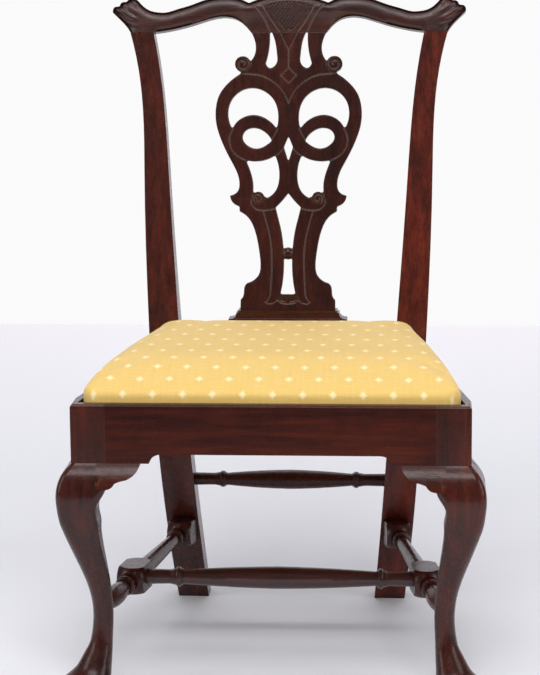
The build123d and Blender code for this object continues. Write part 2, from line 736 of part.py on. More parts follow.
def splat_shoe():
    """Moulded plinth that the splat stands in, flared at the front and the ends."""
    top_half = SPLAT_FOOT_HALF * ACROSS + SHOE_TOP_MARGIN
    low_half = top_half + SHOE_FLARE
    step = SHOE_TOP - SHOE_MOULDING
    bead = SHOE_TOP - 0.25 * SHOE_MOULDING
    neck = 0.2 * SHOE_FLARE
    front_view = make_face(Wire([
        Line((0, SEAT_HEIGHT), (low_half, SEAT_HEIGHT)),
        Line((low_half, SEAT_HEIGHT), (low_half, step)),
        Bezier((low_half, step), (top_half + neck, step), (top_half + neck, bead)),
        Line((top_half + neck, bead), (top_half, bead)),
        Line((top_half, bead), (top_half, SHOE_TOP)),
        Line((top_half, SHOE_TOP), (0, SHOE_TOP)),
        Line((0, SHOE_TOP), (0, SEAT_HEIGHT)),
    ]))
    front, back = shoe_y()
    splat_front = BACK_ORIGIN_Y + SPLAT_SETBACK / SLOPE_COS
    top_front = splat_front - SHOE_TOP_MARGIN
    side_view = make_face(Wire([
        Line((back, SEAT_HEIGHT), (front, SEAT_HEIGHT)),
        Line((front, SEAT_HEIGHT), (front, step)),
        Bezier((front, step), (top_front, step), (top_front, bead)),
        Line((top_front, bead), (top_front, SHOE_TOP)),
        Line((top_front, SHOE_TOP), (back, SHOE_TOP)),
        Line((back, SHOE_TOP), (back, SEAT_HEIGHT)),
    ]))
    across = both_sides(extrude(Plane.XZ * front_view, -2 * SEAT_DEPTH))
    along = extrude(Plane.YZ * side_view, BACK_WIDTH, both=True)
    return (across & along) - splat_foot(JOINT_CLEARANCE)


# Stretchers
def turning(*runs):
    """Turned bar along X: the radius line is given as the runs of an outline above the axis."""
    return revolve(outline(*runs), Axis.X)


def ring_runs(start, radius, neck):
    """Half-round bead between two small steps, then a cove down to the neck, as runs from start."""
    step = neck + 0.4 * (radius - neck)
    bead = start + RING_STEP
    cove = bead + RING_BEAD + RING_STEP
    return [
        (start, step),
        (bead, step),
        [
            (bead + 0.15 * RING_BEAD, 0.3 * step + 0.7 * radius),
            (bead + 0.5 * RING_BEAD, radius),
            (bead + 0.85 * RING_BEAD, 0.3 * step + 0.7 * radius),
            (bead + RING_BEAD, step),
        ],
        (cove, step),
        [(cove + 0.4 * RING_COVE, 0.75 * neck + 0.25 * step), (cove + RING_COVE, neck)],
    ]


def half_stretcher(middle_radius, neck, ring_radius, ring_place, reach):
    """Half of a bar that is thickest in the middle, with a ring near its end."""
    ring_start = ring_place - RING_STEP - RING_BEAD / 2
    return turning(
        (0, 0),
        (0, middle_radius),
        [(0.5 * ring_start, neck + 0.68 * (middle_radius - neck)), (ring_start, neck)],
        *ring_runs(ring_start, ring_radius, neck),
        (reach, neck + 0.2 * (ring_radius - neck)),
        (reach, 0),
    )


def leg_centre(z):
    """Axis of the right front leg at a height."""
    middle = (knee_outer(z) - knee_inner(z)) / 2
    return HALF + middle, -middle


def rear_leg_front(z):
    """Front face of the rear leg below the seat rails, on the curve of its side profile."""
    share = 0.0
    for step in range(200):
        share = step / 200
        rest = 1 - share
        height = RAIL_BOTTOM * (rest ** 3 + 3 * 0.7 * rest ** 2 * share + 3 * 0.5 * rest * share ** 2)
        if height <= z:
            break
    return SEAT_DEPTH + REAR_KICK * (3 * 0.3 * (1 - share) * share ** 2 + share ** 3)


def rear_leg_centre_x(z):
    seat_centre = REAR_HALF - REAR_LEG_WIDTH / 2
    rail_middle = SEAT_HEIGHT - RAIL_HEIGHT / 2
    return REAR_FOOT_CENTRE + (seat_centre - REAR_FOOT_CENTRE) * z / rail_middle


def side_stretcher_axis():
    """Start, direction angle and length of the right side stretcher, from leg axis to rear leg."""
    x0, y0 = leg_centre(STRETCHER_HEIGHT)
    x1 = rear_leg_centre_x(STRETCHER_HEIGHT)
    y1 = rear_leg_front(STRETCHER_HEIGHT)
    angle = atan2(y1 - y0, x1 - x0)
    length = (y1 - y0) / sin(angle)
    return x0, y0, angle, length


def on_side_axis(shape):
    """Place a bar drawn along +X on the axis of the right side stretcher."""
    x0, y0, angle, _ = side_stretcher_axis()
    return Pos(x0, y0, STRETCHER_HEIGHT) * Rot(0, 0, degrees(angle)) * shape


def medial_station():
    """Distance along the side stretcher where the medial stretcher meets it."""
    _, y0, angle, _ = side_stretcher_axis()
    return (MEDIAL_DISTANCE - y0) / sin(angle)


def softened_block(size, start, end, closed_end):
    """Square block whose ends are turned down to the round; a closed end stays square."""
    corner = 0.68 * size
    shoulder = 0.52 * size
    low = 0.36 * size
    run = 0.4 * size
    far = end if closed_end else end - run
    opening = [(start + 0.35 * run, shoulder), (start + run, corner)]
    runs = [(start, 0), (start, low), opening, (far, corner)]
    if not closed_end:
        runs.append([(end - 0.35 * run, shoulder), (end, low)])
    runs.append((end, 0))
    middle = (start + end) / 2
    return turning(*runs) & (Pos(middle, 0, 0) * Box(end - start, size, size))


def side_stretcher_blank():
    """Side stretcher: vase and ring at the front, block for the medial bar, taper and rear block."""
    _, _, _, length = side_stretcher_axis()
    station = medial_station()
    front = station - SIDE_BLOCK_LENGTH / 2
    rear = station + SIDE_BLOCK_LENGTH / 2
    block_start = length - REAR_BLOCK_LENGTH
    leg_radius = ANKLE_DIAMETER / 2
    vase_end = front - RING_LENGTH
    neck = SIDE_NECK_RADIUS
    bulb = 1.1 * SIDE_SHAFT_RADIUS
    front_turning = turning(
        (0, 0),
        (0, neck),
        (leg_radius, neck),
        [(0.5 * (leg_radius + vase_end), bulb), (vase_end, neck)],
        *ring_runs(vase_end, bulb, neck),
        (front + 0.1 * SIDE_BLOCK, neck),
        (front + 0.1 * SIDE_BLOCK, 0),
    )
    ring_start = block_start - RING_LENGTH
    taper = turning(
        (rear - 0.1 * SIDE_BLOCK, 0),
        (rear - 0.1 * SIDE_BLOCK, SIDE_SHAFT_RADIUS),
        [(0.5 * (rear + ring_start), 0.55 * SIDE_SHAFT_RADIUS + 0.45 * neck), (ring_start, neck)],
        *ring_runs(ring_start, SIDE_SHAFT_RADIUS, neck),
        (block_start + 0.1 * REAR_BLOCK, neck),
        (block_start + 0.1 * REAR_BLOCK, 0),
    )
    medial_block = softened_block(SIDE_BLOCK, front, rear, False)
    rear_block = softened_block(REAR_BLOCK, block_start, length + REAR_LEG_DEPTH / 4, True)
    return on_side_axis(front_turning + medial_block + taper + rear_block)


def side_stretcher_tenons(clearance=0.0):
    """Round tenon into the front leg and flat tenon into the rear leg."""
    _, _, _, length = side_stretcher_axis()
    bury = STRETCHER_TENON_LENGTH + clearance
    leg_radius = ANKLE_DIAMETER / 2
    front_length = 2 * leg_radius
    front_start = leg_radius - bury
    front = Pos(front_start + front_length / 2, 0, 0) * Rot(0, 90, 0) * Cylinder(
        STRETCHER_TENON_RADIUS + clearance, front_length
    )
    rear_length = bury + REAR_BLOCK / 2
    rear = Pos(length + bury - rear_length / 2, 0, 0) * Box(
        rear_length,
        TENON_THICKNESS + 2 * clearance,
        REAR_BLOCK - 2 * TENON_SHOULDER + 2 * clearance,
    )
    return on_side_axis(front), on_side_axis(rear)


def bar_across(bar, y, z):
    """Both halves of a turned bar that lies across the chair."""
    return Pos(0, y, z) * both_sides(bar)


def medial_inner_x():
    """Inner face of the side stretcher's block on the axis of the medial stretcher."""
    x0, y0, angle, _ = side_stretcher_axis()
    axis_x = x0 + (MEDIAL_DISTANCE - y0) * cos(angle) / sin(angle)
    return axis_x - SIDE_BLOCK / 2 / sin(angle)


def medial_tenon(clearance=0.0):
    reach = medial_inner_x() + STRETCHER_TENON_LENGTH + clearance
    bar = Rot(0, 90, 0) * Cylinder(STRETCHER_TENON_RADIUS + clearance, 2 * reach)
    return Pos(0, MEDIAL_DISTANCE, STRETCHER_HEIGHT) * bar


def medial_stretcher(side_blanks):
    reach = medial_inner_x() + 0.2 * SIDE_BLOCK
    bar = half_stretcher(
        MEDIAL_RADIUS, MEDIAL_NECK_RADIUS, MEDIAL_RING_RADIUS, MEDIAL_RING_PLACE, reach
    )
    solid = bar_across(bar, MEDIAL_DISTANCE, STRETCHER_HEIGHT)
    for blank in side_blanks:
        solid = solid - blank
    return solid + medial_tenon()


def rear_stretcher_y():
    return rear_leg_front(REAR_STRETCHER_HEIGHT) + REAR_LEG_DEPTH / 2


def rear_stretcher_reach():
    return rear_leg_centre_x(REAR_STRETCHER_HEIGHT) - REAR_LEG_WIDTH / 2


def rear_stretcher_tenon(clearance=0.0):
    reach = rear_stretcher_reach() + STRETCHER_TENON_LENGTH + clearance
    bar = Rot(0, 90, 0) * Cylinder(STRETCHER_TENON_RADIUS + clearance, 2 * reach)
    return Pos(0, rear_stretcher_y(), REAR_STRETCHER_HEIGHT) * bar


def rear_stretcher(rear_legs):
    reach = rear_stretcher_reach() + REAR_LEG_WIDTH / 3
    bar = half_stretcher(
        REAR_STRETCHER_RADIUS, REAR_NECK_RADIUS, REAR_RING_RADIUS, REAR_RING_PLACE, reach
    )
    solid = bar_across(bar, rear_stretcher_y(), REAR_STRETCHER_HEIGHT)
    for leg in rear_legs:
        solid = solid - leg
    return solid + rear_stretcher_tenon()


# Corner blocks
def block_levels():
    top = LEDGE - BLOCK_BELOW_LEDGE
    return top - BLOCK_HEIGHT, top


def front_corner_block():
    """Glue block across the front corner, notched round the post."""
    low, high = block_levels()
    inner = HALF - POST
    points = [
        (inner - BLOCK_LEG, RAIL_THICKNESS),
        (inner, RAIL_THICKNESS),
        (inner, POST),
        (side_x(POST, RAIL_THICKNESS), POST),
        (side_x(POST + BLOCK_LEG, RAIL_THICKNESS), POST + BLOCK_LEG),
    ]
    return prism(points, low, high)


def rear_corner_block():
    """Glue block across the rear corner, against the rear leg and the side rail."""
    low, high = block_levels()
    corner = side_x(SEAT_DEPTH, RAIL_THICKNESS)
    points = [
        (corner - BLOCK_LEG / 2, SEAT_DEPTH),
        (corner, SEAT_DEPTH),
        (side_x(SEAT_DEPTH - BLOCK_LEG, RAIL_THICKNESS), SEAT_DEPTH - BLOCK_LEG),
    ]
    return prism(points, low, high)


# Drop-in seat
def seat_half(y, inset):
    """Half width of the drop-in seat at a depth, inside its recess."""
    return side_x(y, RABBET_LIP + SEAT_CLEARANCE + inset)


def seat_front(inset):
    return RABBET_LIP + SEAT_CLEARANCE + inset


def seat_back(inset):
    return SEAT_DEPTH - SEAT_CLEARANCE - inset


def seat_plan(inset, front_draw=0.0, side_draw=0.0, rear_draw=0.0, growth=0.0):
    """Plan of the drop-in seat with rounded corners; each draw moves an edge in, growth rounds more."""
    front = seat_front(inset + front_draw)
    back = seat_back(inset + rear_draw)
    side = inset + side_draw
    points = [
        (-seat_half(front, side), front),
        (seat_half(front, side), front),
        (seat_half(back, side), back),
        (-seat_half(back, side), back),
    ]
    face = make_face(Polyline(*points, close=True))
    return fillet(face.vertices(), SEAT_CORNER_RADIUS - inset + growth)


def seat_form(inset, bottom):
    """Body of the seat: upright past its frame, then a crown that eases in, most of all at the front."""
    edge = SLIP_TOP + SEAT_EDGE_MARGIN - inset
    sections = []
    for step in range(CROWN_STEPS):
        run = CROWN_RUN * step / (CROWN_STEPS - 1)
        rise = CROWN * (1 - exp(-run))
        plan = seat_plan(
            inset,
            CROWN_EASE_FRONT * run,
            CROWN_EASE_SIDE * run,
            CROWN_EASE_REAR * run,
            CROWN_CORNER_GROWTH * rise,
        )
        sections.append(Pos(0, 0, edge + rise) * plan)
    lower = Pos(0, 0, bottom) * extrude(seat_plan(inset), edge - bottom)
    return loft(sections, ruled=True) + lower


def seat_cover(tack_holes):
    """Cover drawn over the seat, down its sides and under the frame as a hem."""
    bottom = LEDGE + SEAT_REST_GAP
    outer = seat_form(0.0, bottom)
    inner = seat_form(COVER_THICKNESS, SLIP_BOTTOM)
    shell = outer - inner
    hem_plan = seat_plan(0.0, COVER_HEM, COVER_HEM, COVER_HEM)
    hem_opening = Pos(0, 0, bottom) * extrude(hem_plan, 2 * COVER_THICKNESS, both=True)
    return shell - hem_opening - tack_holes


def seat_stuffing():
    """Hair stuffing under the cover, flat below where it lies on the sackcloth."""
    body = seat_form(COVER_THICKNESS + STUFFING_GAP, SLIP_TOP)
    below = slab(-SEAT_WIDTH, SEAT_WIDTH, -SEAT_DEPTH, 2 * SEAT_DEPTH, 0, STUFFING_BOTTOM)
    return body - below


def slip_inset():
    return COVER_THICKNESS + STUFFING_GAP


def slip_front_rail():
    front = seat_front(slip_inset())
    back = front + SLIP_RAIL_WIDTH
    points = [
        (-seat_half(front, slip_inset()), front),
        (seat_half(front, slip_inset()), front),
        (seat_half(back, slip_inset()), back),
        (-seat_half(back, slip_inset()), back),
    ]
    return slip_trim(prism(points, SLIP_BOTTOM, SLIP_TOP))


def slip_rear_rail():
    back = seat_back(slip_inset())
    front = back - SLIP_RAIL_WIDTH
    points = [
        (-seat_half(front, slip_inset()), front),
        (seat_half(front, slip_inset()), front),
        (seat_half(back, slip_inset()), back),
        (-seat_half(back, slip_inset()), back),
    ]
    return slip_trim(prism(points, SLIP_BOTTOM, SLIP_TOP))


def slip_trim(rail):
    """Round the corners of the frame with the plan of the seat."""
    body = Pos(0, 0, SLIP_BOTTOM) * extrude(seat_plan(slip_inset()), SLIP_RAIL_THICKNESS)
    return rail & body


def slip_tenons(clearance=0.0):
    """Tenons of the right side rail of the seat frame, front and rear."""
    middle_z = (SLIP_BOTTOM + SLIP_TOP) / 2
    thick = SLIP_RAIL_THICKNESS / 3 + 2 * clearance
    front = seat_front(slip_inset()) + SLIP_RAIL_WIDTH
    back = seat_back(slip_inset()) - SLIP_RAIL_WIDTH
    width = SLIP_RAIL_WIDTH - 2 * TENON_SHOULDER + 2 * clearance
    pieces = []
    for edge, way in ((front, -1), (back, 1)):
        centre_x = seat_half(edge, slip_inset() + SLIP_RAIL_WIDTH / 2)
        near = edge - way * TENON_SHOULDER
        far = edge + way * (SLIP_TENON_LENGTH + clearance)
        low = min(near, far)
        high = max(near, far)
        middle = Pos(centre_x, (low + high) / 2, middle_z)
        pieces.append(middle * Box(width, high - low, thick))
    return pieces


def slip_side_rail():
    """Right side rail of the seat frame, tenoned between the front and rear rails."""
    front = seat_front(slip_inset()) + SLIP_RAIL_WIDTH
    back = seat_back(slip_inset()) - SLIP_RAIL_WIDTH
    points = [
        (seat_half(front, slip_inset()), front),
        (seat_half(back, slip_inset()), back),
        (seat_half(back, slip_inset() + SLIP_RAIL_WIDTH), back),
        (seat_half(front, slip_inset() + SLIP_RAIL_WIDTH), front),
    ]
    rail = prism(points, SLIP_BOTTOM, SLIP_TOP)
    for tenon in slip_tenons():
        rail = rail + tenon
    return rail


def web_spread(share):
    """Middle of each strip, spread evenly over the opening of the frame."""
    return (share + 0.5) / WEB_COUNT


def lengthwise_webs():
    """Strips from the front rail to the rear rail of the seat frame."""
    front = seat_front(slip_inset()) + SLIP_RAIL_WIDTH - WEB_LAP
    back = seat_back(slip_inset()) - SLIP_RAIL_WIDTH + WEB_LAP
    half = seat_half(back, slip_inset() + SLIP_RAIL_WIDTH)
    strips = []
    for number in range(WEB_COUNT):
        x = -half + 2 * half * web_spread(number)
        middle = Pos(x, (front + back) / 2, SLIP_TOP + WEB_THICKNESS / 2)
        strips.append(middle * Box(WEB_WIDTH, back - front, WEB_THICKNESS))
    return strips


def crosswise_webs():
    """Strips from side to side, lying over the lengthwise ones."""
    front = seat_front(slip_inset()) + SLIP_RAIL_WIDTH
    back = seat_back(slip_inset()) - SLIP_RAIL_WIDTH
    strips = []
    for number in range(WEB_COUNT):
        y = front + (back - front) * web_spread(number)
        half = seat_half(y, slip_inset() + SLIP_RAIL_WIDTH) + WEB_LAP
        low = SLIP_TOP + WEB_THICKNESS
        strips.append(slab(-half, half, y - WEB_WIDTH / 2, y + WEB_WIDTH / 2, low, WEB_TOP))
    return strips


def seat_sackcloth():
    """Sheet over the webbing that holds the stuffing."""
    inset = slip_inset() + SLIP_RAIL_WIDTH - SACKCLOTH_LAP
    face = seat_plan(0.0, inset, inset, inset)
    return Pos(0, 0, WEB_TOP) * extrude(face, SACKCLOTH_THICKNESS)


def tack(clearance=0.0):
    """Cut tack, head down at the origin and shank up."""
    hexagon = RegularPolygon(TACK_HEAD / 2, 6)
    head = extrude(hexagon, -TACK_HEAD_HEIGHT)
    size = TACK_SHANK + 2 * clearance
    length = TACK_LENGTH + clearance
    shank = Pos(0, 0, length / 2) * Box(size, size, length)
    return shank if clearance else head + shank


def tack_places():
    """Row of tacks round the hem, in from the edge of the frame and clear of its joints."""
    inset = TACK_INSET
    front = seat_front(inset)
    back = seat_back(inset)
    corners = [
        (-seat_half(front, inset), front),
        (seat_half(front, inset), front),
        (seat_half(back, inset), back),
        (-seat_half(back, inset), back),
    ]
    places = []
    for number, start in enumerate(corners):
        end = corners[(number + 1) % 4]
        run = Vector(*end) - Vector(*start)
        count = ceil(run.length / TACK_PITCH)
        for step in range(count):
            point = Vector(*start) + run * ((step + 0.5) / count)
            places.append(Pos(point.X, point.Y, LEDGE + SEAT_REST_GAP))
    return places


def tacks(clearance=0.0):
    shape = tack(clearance)
    return [place * shape for place in tack_places()]


# Assembly
def build():
    """Every piece in its place, by name."""
    recess = seat_recess()
    rear_right = rear_leg_blank()
    rear_left = other_side(rear_right)
    leg_right = front_leg_blank()
    side_right = side_stretcher_blank()
    side_right = side_right - leg_right - rear_right
    side_left = other_side(side_right)
    front_tenon, rear_tenon = side_stretcher_tenons()
    front_socket, rear_socket = side_stretcher_tenons(JOINT_CLEARANCE)
    rail_front_socket, rail_rear_socket = side_rail_tenons(JOINT_CLEARANCE)
    medial = medial_stretcher([side_right, side_left])
    bracket = front_bracket_blank()
    side_bracket = side_bracket_blank(bracket) - leg_right
    bracket = bracket - leg_right
    leg = leg_right - recess - front_rail_tenon(JOINT_CLEARANCE) - rail_front_socket - front_socket
    rear = rear_right - rail_rear_socket - rear_rail_tenon(JOINT_CLEARANCE) - rear_socket
    rear = rear - rear_stretcher_tenon(JOINT_CLEARANCE) + stile_tenon()
    side = side_right - medial_tenon(JOINT_CLEARANCE) + front_tenon + rear_tenon
    side_rail = side_seat_rail(recess)
    slip_sockets = slip_tenons(JOINT_CLEARANCE)
    slip_front = slip_front_rail() - slip_sockets[0] - other_side(slip_sockets[0])
    slip_rear = slip_rear_rail() - slip_sockets[1] - other_side(slip_sockets[1])
    slip_side = slip_side_rail()
    tack_holes = tacks(JOINT_CLEARANCE)
    front_block = front_corner_block()
    rear_block = rear_corner_block()
    pieces = {
        "front_leg_right": leg,
        "front_leg_left": other_side(leg),
        "front_knee_bracket_right": bracket,
        "front_knee_bracket_left": other_side(bracket),
        "side_knee_bracket_right": side_bracket,
        "side_knee_bracket_left": other_side(side_bracket),
        "front_seat_rail": front_seat_rail(recess),
        "side_seat_rail_right": side_rail,
        "side_seat_rail_left": other_side(side_rail),
        "rear_seat_rail": rear_seat_rail([rear_right, rear_left]),
        "rear_leg_right": rear,
        "rear_leg_left": other_side(rear),
        "crest_rail": crest_rail(),
        "back_splat": back_splat(),
        "splat_shoe": splat_shoe(),
        "side_stretcher_right": side,
        "side_stretcher_left": other_side(side),
        "medial_stretcher": medial,
        "rear_stretcher": rear_stretcher([rear_right, rear_left]),
        "front_corner_block_right": front_block,
        "front_corner_block_left": other_side(front_block),
        "rear_corner_block_right": rear_block,
        "rear_corner_block_left": other_side(rear_block),
        "slip_frame_front": slip_front - tack_holes,
        "slip_frame_rear": slip_rear - tack_holes,
        "slip_frame_right": slip_side - tack_holes,
        "slip_frame_left": other_side(slip_side) - tack_holes,
        "seat_webbing_lengthwise": Compound(lengthwise_webs()),
        "seat_webbing_crosswise": Compound(crosswise_webs()),
        "seat_sackcloth": seat_sackcloth(),
        "seat_stuffing": seat_stuffing(),
        "seat_cover": seat_cover(tack_holes),
        "cover_tacks": Compound(tacks()),
    }
    boxes = [piece.bounding_box() for piece in pieces.values()]
    middle_y = (min(box.min.Y for box in boxes) + max(box.max.Y for box in boxes)) / 2
    to_origin = Pos(0, -middle_y, 0)
    return {name: to_origin * piece for name, piece in pieces.items()}


os.makedirs("parts", exist_ok=True)
for node, piece in build().items():
    export_step(piece, f"parts/{node}.step")
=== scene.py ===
import math

import bmesh
import bpy
import numpy as np
from mathutils import Matrix, Vector
from mathutils.bvhtree import BVHTree
from mathutils.kdtree import KDTree


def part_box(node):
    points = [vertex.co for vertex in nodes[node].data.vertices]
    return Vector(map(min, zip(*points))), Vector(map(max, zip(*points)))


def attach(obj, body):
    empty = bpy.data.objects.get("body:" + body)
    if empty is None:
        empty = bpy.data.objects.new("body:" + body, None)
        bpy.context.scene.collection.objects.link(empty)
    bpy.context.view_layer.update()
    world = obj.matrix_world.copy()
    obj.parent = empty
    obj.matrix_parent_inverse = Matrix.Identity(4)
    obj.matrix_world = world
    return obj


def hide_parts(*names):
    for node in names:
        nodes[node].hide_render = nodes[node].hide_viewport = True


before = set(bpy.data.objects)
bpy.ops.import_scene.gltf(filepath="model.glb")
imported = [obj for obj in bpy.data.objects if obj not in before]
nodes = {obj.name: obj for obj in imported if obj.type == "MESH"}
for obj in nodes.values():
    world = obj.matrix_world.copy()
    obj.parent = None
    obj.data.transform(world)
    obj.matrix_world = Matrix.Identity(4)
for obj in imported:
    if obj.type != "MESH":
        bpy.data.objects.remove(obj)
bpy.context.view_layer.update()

# Main sizes in metres, as in the CAD model
MM = 0.001
FRONT_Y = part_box("front_seat_rail")[0].y
RAKE = math.radians(10.5)
BACK_DEPTH = 420.34 * MM
BACK_FOOT = 475 * MM
UP_BACK = Vector((0, math.sin(RAKE), math.cos(RAKE)))
OUT_BACK = Vector((0, -math.cos(RAKE), math.sin(RAKE)))
BACK_ORIGIN = Vector((0, FRONT_Y + BACK_DEPTH, BACK_FOOT))


# Camera at the photograph's place: metres across, before the front rail and up, then degrees
CAMERA_ACROSS = 0.2070
CAMERA_BEFORE = 3.0237
CAMERA_HEIGHT = 1.0957
CAMERA_TURN = 3.89
CAMERA_DOWN = 10.85
CAMERA_ROLL = -0.5
PICTURE_HEIGHT = 675
FOCAL_PIXELS = 2273.7
SENSOR_HEIGHT = 36.0


def make_camera():
    data = bpy.data.cameras.new("camera")
    data.sensor_fit = "VERTICAL"
    data.sensor_height = SENSOR_HEIGHT
    data.lens = FOCAL_PIXELS / PICTURE_HEIGHT * SENSOR_HEIGHT
    camera = bpy.data.objects.new("camera", data)
    bpy.context.collection.objects.link(camera)
    turn = Matrix.Rotation(math.radians(CAMERA_TURN), 4, "Z")
    tilt = Matrix.Rotation(math.radians(90 - CAMERA_DOWN), 4, "X")
    roll = Matrix.Rotation(math.radians(CAMERA_ROLL), 4, "Z")
    place = Matrix.Translation((CAMERA_ACROSS, FRONT_Y - CAMERA_BEFORE, CAMERA_HEIGHT))
    camera.matrix_world = place @ turn @ tilt @ roll
    bpy.context.scene.camera = camera


# Small helpers for meshes
def new_object(name, mesh):
    piece = bpy.data.objects.new(name, mesh)
    bpy.context.collection.objects.link(piece)
    return piece


def mesh_from(name, points, faces):
    mesh = bpy.data.meshes.new(name)
    mesh.from_pydata([tuple(p) for p in points], [], faces)
    mesh.validate()
    mesh.polygons.foreach_set("use_smooth", [True] * len(mesh.polygons))
    return mesh


def lay_flat(mesh, flats):
    """Keeps where each point lies on the flat cloth, for the weave."""
    place = mesh.attributes.new("cloth_place", "FLOAT_VECTOR", "POINT")
    place.data.foreach_set("vector", [c for flat in flats for c in flat])


def wear(piece, material):
    piece.data.materials.clear()
    piece.data.materials.append(material)


# Colours are given as the eye sees them, 0 to 255
def rgb(red, green, blue):
    linear = []
    for value in (red, green, blue):
        share = value / 255
        linear.append(share / 12.92 if share <= 0.04045 else ((share + 0.055) / 1.055) ** 2.4)
    return (*linear, 1.0)


class Shader:
    """A material and its node tree, with short calls to add and join nodes."""

    def __init__(self, name):
        self.material = bpy.data.materials.new(name)
        self.material.use_nodes = True
        self.tree = self.material.node_tree
        self.surface = self.tree.nodes["Principled BSDF"]

    def put(self, value, socket):
        if isinstance(value, bpy.types.NodeSocket):
            self.tree.links.new(value, socket)
        else:
            socket.default_value = value

    def add(self, kind, values=None, **settings):
        node = self.tree.nodes.new("ShaderNode" + kind)
        for key, value in settings.items():
            setattr(node, key, value)
        for key, value in (values or {}).items():
            self.put(value, node.inputs[key])
        return node

    def set(self, **values):
        for key, value in values.items():
            self.put(value, self.surface.inputs[key.replace("_", " ")])

    def place(self, scale=(1, 1, 1), shift=(0, 0, 0)):
        coordinate = self.add("TexCoord").outputs["Object"]
        values = {"Vector": coordinate, "Scale": scale, "Location": shift}
        return self.add("Mapping", values).outputs["Vector"]

    def noise(self, vector, scale, detail=3.0, rough=0.55, warp=0.0):
        values = {"Vector": vector, "Scale": scale, "Detail": detail}
        values.update({"Roughness": rough, "Distortion": warp})
        return self.add("TexNoise", values).outputs["Fac"]

    def maths(self, operation, first, second=0.5, third=0.5):
        values = {0: first, 1: second, 2: third}
        return self.add("Math", values, operation=operation).outputs["Value"]

    def fit(self, value, low, high, out_low=0.0, out_high=1.0):
        values = {"Value": value, "From Min": low, "From Max": high, "To Min": out_low, "To Max": out_high}
        return self.add("MapRange", values).outputs["Result"]

    def ramp(self, value, *stops):
        node = self.add("ValToRGB", {"Fac": value})
        bar = node.color_ramp.elements
        while len(bar) < len(stops):
            bar.new(0.5)
        for element, (place, colour) in zip(bar, stops):
            element.position = place
            element.color = colour
        return node.outputs["Color"]

    def mix(self, share, first, second):
        node = self.add("Mix", data_type="RGBA")
        self.put(share, node.inputs["Factor"])
        self.put(first, node.inputs[6])
        self.put(second, node.inputs[7])
        return node.outputs[2]

    def bump(self, height, strength, distance):
        values = {"Height": height, "Strength": strength, "Distance": distance}
        return self.add("Bump", values).outputs["Normal"]


# Mahogany from dark to light along its figure, the colours of wear and of the carved lines, and painted
# shade for hollows and hatch grooves
MAHOGANY_FIGURE = ((0.42, (28, 10, 8)), (0.56, (47, 16, 11)), (0.68, (63, 22, 13)), (0.84, (84, 32, 18)))
PORE_COLOUR = rgb(18, 7, 6)
GRIME_COLOUR = rgb(22, 10, 8)
HOLLOW_SHADE_COLOUR = rgb(17, 8, 7)
RUBBED_COLOUR = rgb(110, 66, 48)
WAX_COLOUR = rgb(134, 104, 92)
HATCH_SHADE_COLOUR = rgb(14, 8, 8)
HOLLOW_SHADE_REACH = 0.012
RUBBED_RADIUS = 0.0013


# Wood with its grain along one axis; the shift gives each piece its own figure
def grain_scale(axis, stretch):
    return tuple(1 / stretch if letter == axis else 1.0 for letter in "XYZ")


def worn_and_shaded(wood, colour, patch):
    """Paints shade into hollows and between parts, rubs edges pale away from joints, colours the carved
    lines with pale old wax, and paints shade into the hatch grooves.
    """
    # Painted shade: ambient occlusion darkens hollows, creases and places between parts towards near-black
    hollow = wood.add("AmbientOcclusion", {"Distance": HOLLOW_SHADE_REACH}, samples=6).outputs["AO"]
    colour = wood.mix(wood.fit(hollow, 0.30, 0.85, 0.75, 0.0), colour, HOLLOW_SHADE_COLOUR)
    rounded = wood.add("Bevel", {"Radius": RUBBED_RADIUS}, samples=4).outputs["Normal"]
    flat = wood.add("NewGeometry").outputs["Normal"]
    bend = wood.add("VectorMath", {0: rounded, 1: flat}, operation="DOT_PRODUCT").outputs["Value"]
    rub = wood.maths("MULTIPLY", wood.fit(bend, 0.985, 0.86), wood.fit(patch, 0.35, 0.6))
    joint = wood.add("Attribute", attribute_name="joint").outputs["Fac"]
    rub = wood.maths("MULTIPLY", rub, wood.fit(joint, 0.0, 1.0, 0.3, 0.0))
    colour = wood.mix(rub, colour, RUBBED_COLOUR)
    cut = wood.add("Attribute", attribute_name="cut").outputs["Fac"]
    colour = wood.mix(wood.fit(cut, 0.0, 1.0, 0.0, 0.3), colour, WAX_COLOUR)
    # Painted shade: hatch grooves, marked by a negative cut, are darkened towards near-black
    return wood.mix(wood.fit(cut, 0.0, -1.0, 0.0, 0.85), colour, HATCH_SHADE_COLOUR)


